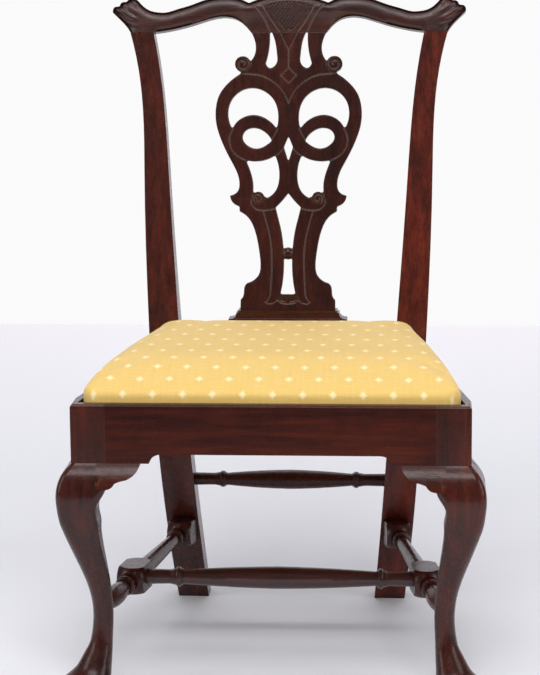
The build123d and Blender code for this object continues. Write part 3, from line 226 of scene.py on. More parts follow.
def mahogany(name, axis, shift, tone, gloss, dull):
    wood = Shader(name)
    offset = (0.37 * shift, 0.61 * shift, 0.23 * shift)
    broad = wood.noise(wood.place(grain_scale(axis, 4), offset), 7.0, 2.0, 0.5, 0.6)
    band = wood.noise(wood.place(grain_scale(axis, 14), offset), 95.0, 4.0, 0.6, 0.4)
    line = wood.noise(wood.place(grain_scale(axis, 30), offset), 420.0, 2.0, 0.6)
    pore = wood.noise(wood.place(grain_scale(axis, 22), offset), 1500.0, 1.0, 0.5)
    patch = wood.noise(wood.place((1, 1, 1), offset), 14.0, 3.0, 0.55)
    mottle = wood.noise(wood.place((1, 1, 1), offset), 60.0, 5.0, 0.7)
    figure = wood.maths("MULTIPLY_ADD", band, 0.55, wood.maths("MULTIPLY", line, 0.3))
    figure = wood.maths("MULTIPLY_ADD", broad, 0.45, figure)
    stops = [(place, rgb(*(tone * value for value in colour))) for place, colour in MAHOGANY_FIGURE]
    colour = wood.ramp(figure, *stops)
    streak = wood.fit(pore, 0.60, 0.72)
    colour = wood.mix(wood.maths("MULTIPLY", streak, 0.35), colour, PORE_COLOUR)
    colour = wood.mix(wood.fit(patch, 0.56, 0.80, 0.0, 0.6), colour, GRIME_COLOUR)
    colour = worn_and_shaded(wood, colour, patch)
    polish = wood.fit(mottle, 0.3, 0.7, 0.20 + dull, 0.33 + dull)
    height = wood.maths("MULTIPLY_ADD", streak, -0.6, wood.maths("MULTIPLY", band, 0.5))
    wood.set(Base_Color=colour, Roughness=wood.maths("MULTIPLY_ADD", streak, 0.12, polish))
    wood.set(Normal=wood.bump(height, 0.25, 0.0006))
    wood.set(Specular_IOR_Level=gloss, Coat_Weight=0.12, Coat_Roughness=0.12, Coat_IOR=1.5)
    return wood.material


def pine(name, axis, shift):
    wood = Shader(name)
    offset = (0.41 * shift, 0.29 * shift, 0.53 * shift)
    band = wood.noise(wood.place(grain_scale(axis, 16), offset), 130.0, 4.0, 0.6, 0.8)
    broad = wood.noise(wood.place(grain_scale(axis, 4), offset), 9.0, 3.0, 0.6)
    saw = wood.noise(wood.place(grain_scale(axis, 0.12), offset), 160.0, 2.0, 0.5)
    figure = wood.maths("MULTIPLY_ADD", band, 0.6, wood.maths("MULTIPLY", broad, 0.4))
    colour = wood.ramp(
        figure,
        (0.36, rgb(92, 60, 34)),
        (0.50, rgb(134, 94, 57)),
        (0.66, rgb(160, 118, 76)),
    )
    dust = wood.fit(wood.noise(wood.place((1, 1, 1), offset), 30.0, 5.0, 0.7), 0.5, 0.7, 0.0, 0.5)
    colour = wood.mix(dust, colour, rgb(84, 62, 44))
    height = wood.maths("MULTIPLY_ADD", saw, 0.5, wood.maths("MULTIPLY", band, 0.5))
    wood.set(Base_Color=colour, Roughness=wood.fit(band, 0.3, 0.7, 0.62, 0.82))
    wood.set(Normal=wood.bump(height, 0.4, 0.0008), Specular_IOR_Level=0.3)
    return wood.material


# Yellow cloth: fine vertical weave streaks and small pale lozenges in staggered rows
CLOTH_PITCH = 41.4 * MM
CLOTH_ROW = 35.0 * MM
CLOTH_START = (3.0 * MM, 33.3 * MM)
LOZENGE_WIDTH = 5.8 * MM
LOZENGE_LENGTH = 7.2 * MM
WARP_PITCH = 0.0011
WEFT_PITCH = 0.0013


def lozenges(cloth, across, along, shift_x, shift_y):
    """Pale lozenge marks on a grid, 1 inside a mark."""
    first = cloth.maths("DIVIDE", cloth.maths("SUBTRACT", across, shift_x), CLOTH_PITCH)
    second = cloth.maths("DIVIDE", cloth.maths("SUBTRACT", along, shift_y), 2 * CLOTH_ROW)
    first = cloth.maths("SUBTRACT", cloth.maths("FRACT", first), 0.5)
    second = cloth.maths("SUBTRACT", cloth.maths("FRACT", second), 0.5)
    first = cloth.maths("MULTIPLY", cloth.maths("ABSOLUTE", first), CLOTH_PITCH / LOZENGE_WIDTH)
    second = cloth.maths("MULTIPLY", cloth.maths("ABSOLUTE", second), 2 * CLOTH_ROW / LOZENGE_LENGTH)
    return cloth.fit(cloth.maths("ADD", first, second), 1.25, 0.55)


def fabric(name):
    cloth = Shader(name)
    where = cloth.add("Attribute", attribute_name="cloth_place").outputs["Vector"]
    split = cloth.add("SeparateXYZ", {"Vector": where})
    across = split.outputs["X"]
    along = split.outputs["Y"]
    first = lozenges(cloth, across, along, CLOTH_START[0] - CLOTH_PITCH / 2, CLOTH_START[1] - CLOTH_ROW)
    second = lozenges(cloth, across, along, *CLOTH_START)
    mark = cloth.maths("MAXIMUM", first, second)
    streak_place = cloth.add("Mapping", {"Vector": where, "Scale": (1.0, 0.05, 1.0)}).outputs["Vector"]
    streak = cloth.noise(streak_place, 260.0, 3.0, 0.7)
    slub_place = cloth.add("Mapping", {"Vector": where, "Scale": (0.08, 1.0, 1.0)}).outputs["Vector"]
    slub = cloth.noise(slub_place, 420.0, 2.0, 0.6)
    warp = cloth.maths("SINE", cloth.maths("MULTIPLY", across, 2 * math.pi / WARP_PITCH))
    weft = cloth.maths("SINE", cloth.maths("MULTIPLY", along, 2 * math.pi / WEFT_PITCH))
    weave = cloth.maths("MULTIPLY", warp, weft)
    colour = cloth.ramp(
        streak,
        (0.25, rgb(223, 185, 102)),
        (0.50, rgb(226, 191, 110)),
        (0.75, rgb(229, 197, 119)),
    )
    colour = cloth.mix(cloth.fit(slub, 0.42, 0.75, 0.0, 0.45), colour, rgb(239, 208, 134))
    colour = cloth.mix(cloth.fit(weave, -1.0, 1.0, 0.0, 0.16), colour, rgb(190, 142, 62))
    thread = cloth.fit(weft, -1.0, 1.0, 0.60, 0.82)
    colour = cloth.mix(cloth.maths("MULTIPLY", mark, thread), colour, rgb(252, 236, 192))
    height = cloth.maths("MULTIPLY_ADD", mark, 0.8, cloth.maths("MULTIPLY", weave, 0.5))
    cloth.set(Base_Color=colour, Roughness=cloth.fit(streak, 0.3, 0.7, 0.62, 0.78))
    cloth.set(Normal=cloth.bump(height, 0.35, 0.0004))
    cloth.set(Sheen_Weight=0.25, Sheen_Roughness=0.4, Specular_IOR_Level=0.3)
    return cloth.material


# Yarn of the webbing and the sacking: dark and light colour, and pitch
JUTE = (rgb(98, 78, 52), rgb(164, 138, 98), 0.0016)
JUTE_STRIPE = (0.017, 0.002, rgb(112, 52, 40))
SACK_YARN = (rgb(112, 92, 62), rgb(176, 150, 110), 0.0012)


def woven(name, dark, light, pitch, stripe=None):
    """Coarse plain weave on the flat cloth; a stripe gives its place, half width and colour."""
    cloth = Shader(name)
    where = cloth.add("Attribute", attribute_name="cloth_place").outputs["Vector"]
    split = cloth.add("SeparateXYZ", {"Vector": where})
    wave_x = cloth.maths("SINE", cloth.maths("MULTIPLY", split.outputs["X"], math.pi / pitch))
    wave_y = cloth.maths("SINE", cloth.maths("MULTIPLY", split.outputs["Y"], math.pi / pitch))
    weave = cloth.maths("MULTIPLY", wave_x, wave_y)
    yarn = cloth.noise(where, 900.0, 4.0, 0.7)
    tone = cloth.maths("MULTIPLY_ADD", weave, 0.25, yarn)
    colour = cloth.ramp(tone, (0.25, dark), (0.75, light))
    if stripe:
        middle, half, tint = stripe
        side = cloth.maths("ABSOLUTE", split.outputs["X"])
        edge = cloth.maths("ABSOLUTE", cloth.maths("SUBTRACT", side, middle))
        band = cloth.fit(edge, half, half * 0.8)
        colour = cloth.mix(cloth.maths("MULTIPLY", band, 0.7), colour, tint)
    cloth.set(Base_Color=colour, Roughness=cloth.fit(yarn, 0.3, 0.7, 0.75, 0.95))
    cloth.set(Normal=cloth.bump(cloth.maths("MULTIPLY_ADD", yarn, 0.4, weave), 0.6, 0.0006))
    cloth.set(Specular_IOR_Level=0.2)
    return cloth.material


def iron(name):
    metal = Shader(name)
    spot = metal.noise(metal.place(), 700.0, 5.0, 0.7)
    colour = metal.ramp(spot, (0.35, rgb(46, 40, 38)), (0.55, rgb(74, 62, 55)), (0.72, rgb(112, 66, 40)))
    metal.set(Base_Color=colour, Roughness=metal.fit(spot, 0.3, 0.7, 0.35, 0.75))
    metal.set(Metallic=0.85, Normal=metal.bump(spot, 0.3, 0.0003))
    return metal.material


# Plan of the drop-in seat: a trapezium with rounded corners; the crown eases in from each edge
SEAT_FRONT_HALF = 0.2755
SEAT_REAR_HALF = 0.211
SEAT_DEPTH = 0.412
LEG_POST = 0.048
SEAT_SIDE = math.atan2(SEAT_FRONT_HALF - SEAT_REAR_HALF, SEAT_DEPTH - LEG_POST)
SEAT_LIP = 0.0155
SEAT_REAR = 0.4105
SEAT_RADIUS = 0.022
SEAT_FRAME_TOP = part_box("slip_frame_front")[1].z
SEAT_EDGE = SEAT_FRAME_TOP + 0.002
SEAT_CROWN = 0.0395
# Ease of the crown from the front, the rear and both sides: share and size of a round start, long ease
EASE_FRONT = (0.28, 0.006, 0.070)
EASE_REAR = (0.35, 0.002, 0.0070)
EASE_SIDE = (0.35, 0.002, 0.0065)
EASES = (EASE_FRONT, EASE_REAR, EASE_SIDE, EASE_SIDE)
CROWN_START = 0.0004
CROWN_REACH = 0.115
CROWN_SPREAD = 1.6
CORNER_GROWTH = 0.4
TOP_RINGS = 20
CROWN_RINGS = 26
SEAT_BED = 0.43155
BED_GAP = 0.0002
BED_DRAW = 0.002
WEB_EDGE = 0.0205
SEAT_MIDDLE = Vector((0, FRONT_Y + 0.225))
# Draw-in and height of the rings below the crown: side, hem under the frame, and inner face of the cloth
SKIRT = (
    (0.0, 0.4275),
    (0.0, 0.4240),
    (0.0, 0.4205),
    (0.0, 0.4165),
    (0.0, 0.4125),
    (0.0, 0.4085),
    (0.0006, 0.4069),
    (0.0025, 0.4063),
    (0.010, 0.4063),
    (0.020, 0.4063),
    (0.030, 0.4063),
    (0.032, 0.4066),
    (0.032, 0.4074),
    (0.020, 0.40745),
    (0.004, 0.40745),
    (0.00125, 0.4080),
    (0.00125, 0.4200),
    (0.00125, SEAT_FRAME_TOP + BED_GAP),
)


def seat_half(depth):
    """Half width of the seat at a depth behind the face of the front rail."""
    side = SEAT_FRONT_HALF - (depth - LEG_POST) * math.tan(SEAT_SIDE)
    return side - SEAT_LIP / math.cos(SEAT_SIDE)


def edge_distances(x, y):
    """Distances of a place from the front, the rear, the left and the right edge of the seat."""
    depth = y - FRONT_Y
    half = seat_half(depth)
    slant = math.cos(SEAT_SIDE)
    return depth - SEAT_LIP, SEAT_REAR - depth, (half + x) * slant, (half - x) * slant


def eased(far, ease):
    """Share of the crown's height at a distance from one edge."""
    share, short, long = ease
    return 1 - share * np.exp(-np.sqrt(far / short)) - (1 - share) * np.exp(-far / long)


def crown_rise(x, y, draw):
    """How far the crown stands above the edge of the seat."""
    share = 1 - math.exp(-draw / CROWN_START)
    for far, ease in zip(edge_distances(x, y), EASES):
        share *= eased(max(far, 0.0), ease)
    return SEAT_CROWN * share


EXCESS_REACH = np.linspace(0.0, 0.4, 1601)


def excess_along(ease):
    """How much longer the cloth is than its plan, from each distance in to the flat middle of the crown."""
    slope = np.gradient(SEAT_CROWN * eased(EXCESS_REACH, ease), EXCESS_REACH)
    extra = (np.sqrt(1 + slope * slope) - 1) * EXCESS_REACH[1]
    return np.cumsum(extra[::-1])[::-1]


EXCESS = [excess_along(ease) for ease in EASES]


def cloth_place(x, y):
    """Where a place on the crown lies on the flat cloth."""
    fars = edge_distances(x, y)
    front, rear, left, right = [np.interp(far, EXCESS_REACH, extra) for far, extra in zip(fars, EXCESS)]
    return x + right - left, y + rear - front


def bed_level(draw):
    """Height of the cushion's flat underside: on the seat frame at its edge, then over the webbing."""
    return SEAT_BED if draw > WEB_EDGE else SEAT_FRAME_TOP + BED_GAP


def seat_corners(draw):
    """Corners of the seat plan drawn in from its edge, from the front left one round."""
    front = SEAT_LIP + draw
    rear = SEAT_REAR - draw
    corners = []
    for side, y in ((-1, front), (1, front), (1, rear), (-1, rear)):
        half = seat_half(y) - draw / math.cos(SEAT_SIDE)
        corners.append(Vector((side * half, y + FRONT_Y)))
    return corners


def corner_arc(before, corner, after, radius):
    """Centre of a corner's arc, half its angle, and the direction of its middle."""
    first = (before - corner).normalized()
    second = (after - corner).normalized()
    half = first.angle(second) / 2
    middle = (first + second).normalized()
    return corner + middle * (radius / math.sin(half)), math.pi / 2 - half, -middle


def seat_ring(draw, radius, steps):
    """Points and outward directions round the plan from the front left corner, eight for each step."""
    corners = seat_corners(draw)
    arcs = [corner_arc(corners[i - 1], corners[i], corners[(i + 1) % 4], radius) for i in range(4)]
    ring = []
    for side in range(4):
        centre, turn, start = arcs[side]
        next_centre, next_turn, finish = arcs[(side + 1) % 4]
        straight = (next_centre - centre).length
        whole = radius * turn + straight + radius * next_turn
        outward = Matrix.Rotation(turn, 2) @ start
        for step in range(2 * steps):
            length = whole * step / (2 * steps)
            if length < radius * turn:
                out = Matrix.Rotation(length / radius, 2) @ start
                point = centre + out * radius
            elif length < radius * turn + straight:
                out = outward
                share = (length - radius * turn) / straight
                point = centre.lerp(next_centre, share) + outward * radius
            else:
                out = Matrix.Rotation(-(whole - length) / radius, 2) @ finish
                point = next_centre + out * radius
            ring.append((point, out))
    return ring


def square_cell(i, j):
    """Ring of a corner of the square grid, and its place round that ring from the front left."""
    ring = max(abs(i), abs(j))
    if ring == 0:
        return 0, 0
    if j == -ring and i < ring:
        return ring, i + ring
    if i == ring and j < ring:
        return ring, 2 * ring + j + ring
    if j == ring and i > -ring:
        return ring, 4 * ring + ring - i
    return ring, 6 * ring + ring - j


def seat_layers():
    """Rings of the cushion from its middle out, each as its draw-in and its scale about the middle."""
    layers = [(CROWN_REACH, ring / TOP_RINGS) for ring in range(TOP_RINGS)]
    for ring in range(CROWN_RINGS, -1, -1):
        layers.append((CROWN_REACH * (ring / CROWN_RINGS) ** CROWN_SPREAD, 1.0))
    return layers


class Cushion:
    """Points of the cushion's closed mesh, where each lies on the flat cloth, and its faces."""

    def __init__(self):
        self.points = []
        self.flats = []
        self.faces = []

    def ring(self, draw, height=None, scale=1.0, steps=TOP_RINGS + CROWN_RINGS):
        """Adds a ring round the plan and gives its first number; with no height it lies on the crown."""
        start = len(self.points)
        radius = SEAT_RADIUS + CORNER_GROWTH * draw
        outline = seat_ring(draw, radius, steps) if steps else [(SEAT_MIDDLE, Vector((0, 0)))]
        for point, out in outline:
            x, y = SEAT_MIDDLE.lerp(point, scale)
            z = SEAT_EDGE + crown_rise(x, y, draw) if height is None else height
            drop = max(SEAT_EDGE - z, 0.0)
            flat_x, flat_y = cloth_place(x, y)
            self.points.append((x, y, z))
            self.flats.append((flat_x + out.x * drop, flat_y + out.y * drop, 0.0))
        return start

    def grid(self, starts, flip):
        """Faces of the square grid whose rings start at these numbers."""
        rings = TOP_RINGS + CROWN_RINGS
        for j in range(-rings, rings):
            for i in range(-rings, rings):
                cells = [square_cell(*c) for c in ((i, j), (i + 1, j), (i + 1, j + 1), (i, j + 1))]
                loop = [starts[ring] + place for ring, place in cells]
                self.faces.append(loop[::-1] if flip else loop)

    def wall(self, upper, lower):
        """Faces between two whole rings."""
        count = 8 * (TOP_RINGS + CROWN_RINGS)
        for place in range(count):
            following = (place + 1) % count
            self.faces.append((upper + place, lower + place, lower + following, upper + following))


def cushion_form():
    """Crown, sides, hem under the seat frame, and back inside to the flat bed on the sacking."""
    form = Cushion()
    layers = seat_layers()
    tops = [form.ring(draw, None, scale, ring) for ring, (draw, scale) in enumerate(layers)]
    form.grid(tops, False)
    last = tops[-1]
    for draw, height in SKIRT:
        following = form.ring(draw, height)
        form.wall(last, following)
        last = following
    bed = []
    for ring, (draw, scale) in enumerate(layers[:-1]):
        draw += BED_DRAW
        bed.append(form.ring(draw, bed_level(draw), scale, ring))
    form.grid([*bed, last], True)
    return form


# Cloth simulation of the cover; the hold is the height over the seat frame at which it is free
CLOTH_FRAMES = 20
CLOTH_STIFFNESS = 25
CLOTH_PRESSURE = 2.0
CLOTH_CAP = 0.003
CLOTH_HOLD = 0.012


def inflate(piece, held):
    """Cloth under pressure, from a held edge; no point moves further than the cap."""
    start = [v.co.copy() for v in piece.data.vertices]
    group = piece.vertex_groups.new(name="held")
    for number, weight in enumerate(held):
        group.add([number], weight, "REPLACE")
    modifier = piece.modifiers.new("cloth", "CLOTH")
    cloth = modifier.settings
    cloth.quality = 5
    cloth.mass = 0.3
    cloth.tension_stiffness = CLOTH_STIFFNESS
    cloth.compression_stiffness = CLOTH_STIFFNESS
    cloth.bending_stiffness = 3
    cloth.use_pressure = True
    cloth.uniform_pressure_force = CLOTH_PRESSURE
    cloth.effector_weights.gravity = 0
    cloth.vertex_group_mass = "held"
    modifier.point_cache.frame_start = 1
    modifier.point_cache.frame_end = CLOTH_FRAMES
    scene = bpy.context.scene
    for number in range(1, CLOTH_FRAMES + 1):
        scene.frame_set(number)
    shaped = piece.evaluated_get(bpy.context.evaluated_depsgraph_get())
    moved = [v.co.copy() for v in shaped.data.vertices]
    piece.modifiers.remove(modifier)
    piece.vertex_groups.clear()
    for vertex, first, last in zip(piece.data.vertices, start, moved):
        step = last - first
        far = step.length
        share = CLOTH_CAP * math.tanh(far / CLOTH_CAP) / far if far > 1e-9 else 0.0
        vertex.co = first + step * share
    scene.frame_set(1)


def make_cushion(material):
    form = cushion_form()
    mesh = mesh_from("seat_cushion", form.points, form.faces)
    lay_flat(mesh, form.flats)
    piece = new_object("seat_cushion", mesh)
    top = 4 * (TOP_RINGS + CROWN_RINGS) * (TOP_RINGS + CROWN_RINGS + 1) + 1
    held = []
    for number, point in enumerate(form.points):
        free = min(max((point[2] - SEAT_FRAME_TOP) / CLOTH_HOLD, 0.0), 1.0) if number < top else 0.0
        held.append(1.0 - free)
    inflate(piece, held)
    smooth = piece.modifiers.new("smooth", "SUBSURF")
    smooth.levels = 1
    smooth.render_levels = 1
    wear(piece, material)
    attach(piece, "slip_seat")
    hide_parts("seat_cover", "seat_stuffing")


# Webbing strips, interlaced, and the sacking over them
WEB_WIDTH = 0.050
WEB_THICK = 0.0015
WEB_LOW = 0.4275
WEB_PRESSED = 0.95
WEB_RUN = 0.055
WEB_STEP = 0.004
WEB_CELLS = 8
WEB_THINNED = 0.25
SACK_ROWS = 30
SACK_COLUMNS = 40


def strip_mesh(name, length, width, height_at, thickness):
    """A strip along local X, flat across, with its own height along it."""
    steps = int(length / WEB_STEP)
    wide = WEB_CELLS + 1
    points = []
    flats = []
    for layer in (0, 1):
        for i in range(steps + 1):
            along = length * (i / steps - 0.5)
            for j in range(wide):
                across = width * (j / WEB_CELLS - 0.5)
                edge = WEB_THINNED * thickness if j in (0, WEB_CELLS) else 0.0
                rise = thickness - edge if layer else edge
                points.append((along, across, height_at(along) + rise))
                flats.append((across, along, 0.0))
    size = wide * (steps + 1)
    faces = []
    for i in range(steps):
        for j in range(WEB_CELLS):
            corner = wide * i + j
            loop = (corner, corner + 1, corner + wide + 1, corner + wide)
            faces.append(loop)
            faces.append(tuple(size + n for n in loop[::-1]))
        for j in (0, WEB_CELLS):
            corner = wide * i + j
            loop = (corner, corner + wide, corner + wide + size, corner + size)
            faces.append(loop if j == 0 else loop[::-1])
    for i in (0, steps):
        for j in range(WEB_CELLS):
            corner = wide * i + j
            loop = (corner, corner + size, corner + size + 1, corner + 1)
            faces.append(loop if i == 0 else loop[::-1])
    mesh = mesh_from(name, points, faces)
    lay_flat(mesh, flats)
    return mesh


def make_strip(name, centre, length, angle, crossings, material, node):
    """One strip; crossings are places along it where it goes over (1) or under (-1) another."""

    def height_at(along):
        lift = 0.0
        for place, way in crossings:
            share = max(0.0, 1.0 - abs(along - place) / WEB_RUN)
            lift += way * share * share * (3 - 2 * share)
        return WEB_LOW + WEB_THICK / 2 + WEB_THICK / 2 * lift

    mesh = strip_mesh(name, length, WEB_WIDTH, height_at, WEB_THICK * WEB_PRESSED)
    piece = new_object(name, mesh)
    piece.matrix_world = Matrix.Translation((*centre, 0)) @ Matrix.Rotation(angle, 4, "Z")
    wear(piece, material)
    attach(piece, "slip_seat")
    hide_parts(node)


def make_webbing(material):
    """Three strips each way over the opening of the seat frame, woven over and under each other."""
    low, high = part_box("seat_webbing_lengthwise")
    cross_low, cross_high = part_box("seat_webbing_crosswise")
    length = high.y - low.y
    xs = [low.x + WEB_WIDTH / 2 + (high.x - low.x - WEB_WIDTH) * i / 2 for i in range(3)]
    ys = [cross_low.y + WEB_WIDTH / 2 + (cross_high.y - cross_low.y - WEB_WIDTH) * i / 2 for i in range(3)]
    middle = (low.y + high.y) / 2
    for i, x in enumerate(xs):
        crossings = [(y - middle, 1 if (i + j) % 2 else -1) for j, y in enumerate(ys)]
        name = f"seat_web_lengthwise_{i + 1}"
        make_strip(name, (x, middle), length, math.pi / 2, crossings, material, "seat_webbing_lengthwise")
    for j, y in enumerate(ys):
        half = cross_high.x - (y - ys[0]) * math.tan(SEAT_SIDE)
        crossings = [(x, -1 if (i + j) % 2 else 1) for i, x in enumerate(xs)]
        name = f"seat_web_crosswise_{j + 1}"
        make_strip(name, (0, y), 2 * half, 0.0, crossings, material, "seat_webbing_crosswise")


def make_sacking(material):
    """Coarse sheet stretched over the webbing, wider at the front."""
    low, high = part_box("seat_sackcloth")
    length = high.y - low.y
    narrow = high.x - length * math.tan(SEAT_SIDE)
    wide = SACK_COLUMNS + 1
    size = wide * (SACK_ROWS + 1)
    points = []
    faces = []
    for level in (low.z, high.z):
        start = len(points)
        for i in range(SACK_ROWS + 1):
            y = low.y + length * i / SACK_ROWS
            half = high.x + (narrow - high.x) * i / SACK_ROWS
            points += [(half * (2 * j / SACK_COLUMNS - 1), y, level) for j in range(wide)]
        for corner in (start + wide * i + j for i in range(SACK_ROWS) for j in range(SACK_COLUMNS)):
            loop = (corner, corner + 1, corner + wide + 1, corner + wide)
            faces.append(loop if start else loop[::-1])
    last = size - 1
    rim = [
        *range(SACK_COLUMNS),
        *range(SACK_COLUMNS, last, wide),
        *range(last, last - SACK_COLUMNS, -1),
        *range(last - SACK_COLUMNS, 0, -wide),
    ]
    for first, second in zip(rim, rim[1:] + rim[:1]):
        faces.append((first, second, second + size, first + size))
    mesh = mesh_from("seat_sacking", points, faces)
    lay_flat(mesh, points)
    piece = new_object("seat_sacking", mesh)
    wear(piece, material)
    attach(piece, "slip_seat")
    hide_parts("seat_sackcloth")


# Carving of the back, in its own frame: across, up the slope and out of its face, in millimetres
BACK_FRAME = Matrix((
    (1, UP_BACK.x, OUT_BACK.x, BACK_ORIGIN.x),
    (0, UP_BACK.y, OUT_BACK.y, BACK_ORIGIN.y),
    (0, UP_BACK.z, OUT_BACK.z, BACK_ORIGIN.z),
    (0, 0, 0, 1),
))
CARVING_VOXEL = 1.2
CREST_JOINT = 431.0
JOINT_LAP = 5.0
JOINT_HALF = 70
JOINT_EASE = (2.0, 5.0)
SETTLE_REACH = 10
REFINE_REACH = 2.6
FRONT_FACING = (0.25, 0.8)
# Half width and depth of each kind of cut
LINE_CUT = (1.3, 1.3)
SCROLL_CUT = (1.4, 1.4)
ARM_CUT = (1.6, 1.4)
FAN_CUT = (1.2, 0.8)
EAR_CUT = (4.2, 2.8)
EAR_FADE = (226, 258)
# Fan: ease from its edge, depth of its ground, and the pitch, slope, half width and depth of its hatching
FAN_EASE = 2.5
FAN_DEPTH = 0.4
HATCH_PITCH = 5.6
HATCH_SLOPE = 0.8
HATCH_HALF = 1.1
HATCH_DEPTH = 1.6
LENS_EASE = 4.0
LENS_DEPTH = 1.6
# Crest: places across of its side feet and of the sockets, and the rounding of its front and back
CREST_FOOT = (203, 248)
STILE_SOCKET = (214, 240)
SPLAT_SOCKET = 58
SOCKET_HEIGHT = 17
CREST_ROUNDS = ((1, 15.0), (-1, 7.0))
ROUND_SHARE = 0.6


def smooth_step(value, low, high):
    share = np.clip((value - low) / (high - low), 0.0, 1.0)
    return share * share * (3 - 2 * share)


def sweep(points, step=0.4):
    """Even samples on a smooth curve through a few points."""
    knots = np.array(points, float)
    if len(knots) == 2:
        count = int(np.hypot(*(knots[1] - knots[0])) / step) + 2
        return np.linspace(knots[0], knots[1], count)
    ends = np.vstack((2 * knots[0] - knots[1], knots, 2 * knots[-1] - knots[-2]))
    runs = []
    for a, b, c, d in zip(ends, ends[1:], ends[2:], ends[3:]):
        count = int(np.hypot(*(c - b)) / step) + 2
        t = np.linspace(0, 1, count)[:, None]
        runs.append(b + 0.5 * t * (c - a + t * (2 * a - 5 * b + 4 * c - d + t * (3 * b - a - 3 * c + d))))
    return np.vstack(runs)


def scroll(centre, outer, inner, start, turns):
    """Spiral line from the outer radius to the inner one."""
    t = np.linspace(0, 1, 90)
    radius = outer + (inner - outer) * t
    angle = math.radians(start) + 2 * math.pi * turns * t
    return np.stack((centre[0] + radius * np.cos(angle), centre[1] + radius * np.sin(angle)), 1)


def distance(places, samples):
    """Distance of each place from the nearest sample."""
    tree = KDTree(len(samples))
    for number, (x, y) in enumerate(samples):
        tree.insert((x, y, 0), number)
    tree.balance()
    return np.array([tree.find((x, y, 0))[2] for x, y in places])


def inside(places, polygon):
    """True for places inside a closed outline."""
    x, y = places[:, 0], places[:, 1]
    found = np.zeros(len(places), bool)
    for (ax, ay), (bx, by) in zip(polygon, np.roll(polygon, -1, 0)):
        crosses = (ay > y) != (by > y)
        with np.errstate(divide="ignore", invalid="ignore"):
            found ^= crosses & (x < (bx - ax) * (y - ay) / (by - ay) + ax)
    return found


def back_part(name, lap):
    """A CAD node in the frame of the back, with its shoulder at the joint raised by a lap."""
    part = bmesh.new()
    part.from_mesh(nodes[name].data)
    part.transform(BACK_FRAME.inverted())
    bmesh.ops.remove_doubles(part, verts=part.verts, dist=0.000002)
    for vertex in part.verts:
        if abs(vertex.co.y - CREST_JOINT * MM) < 0.0003:
            vertex.co.y += lap * MM
    mesh = bpy.data.meshes.new(name + "_carved")
    part.to_mesh(mesh)
    part.free()
    return mesh


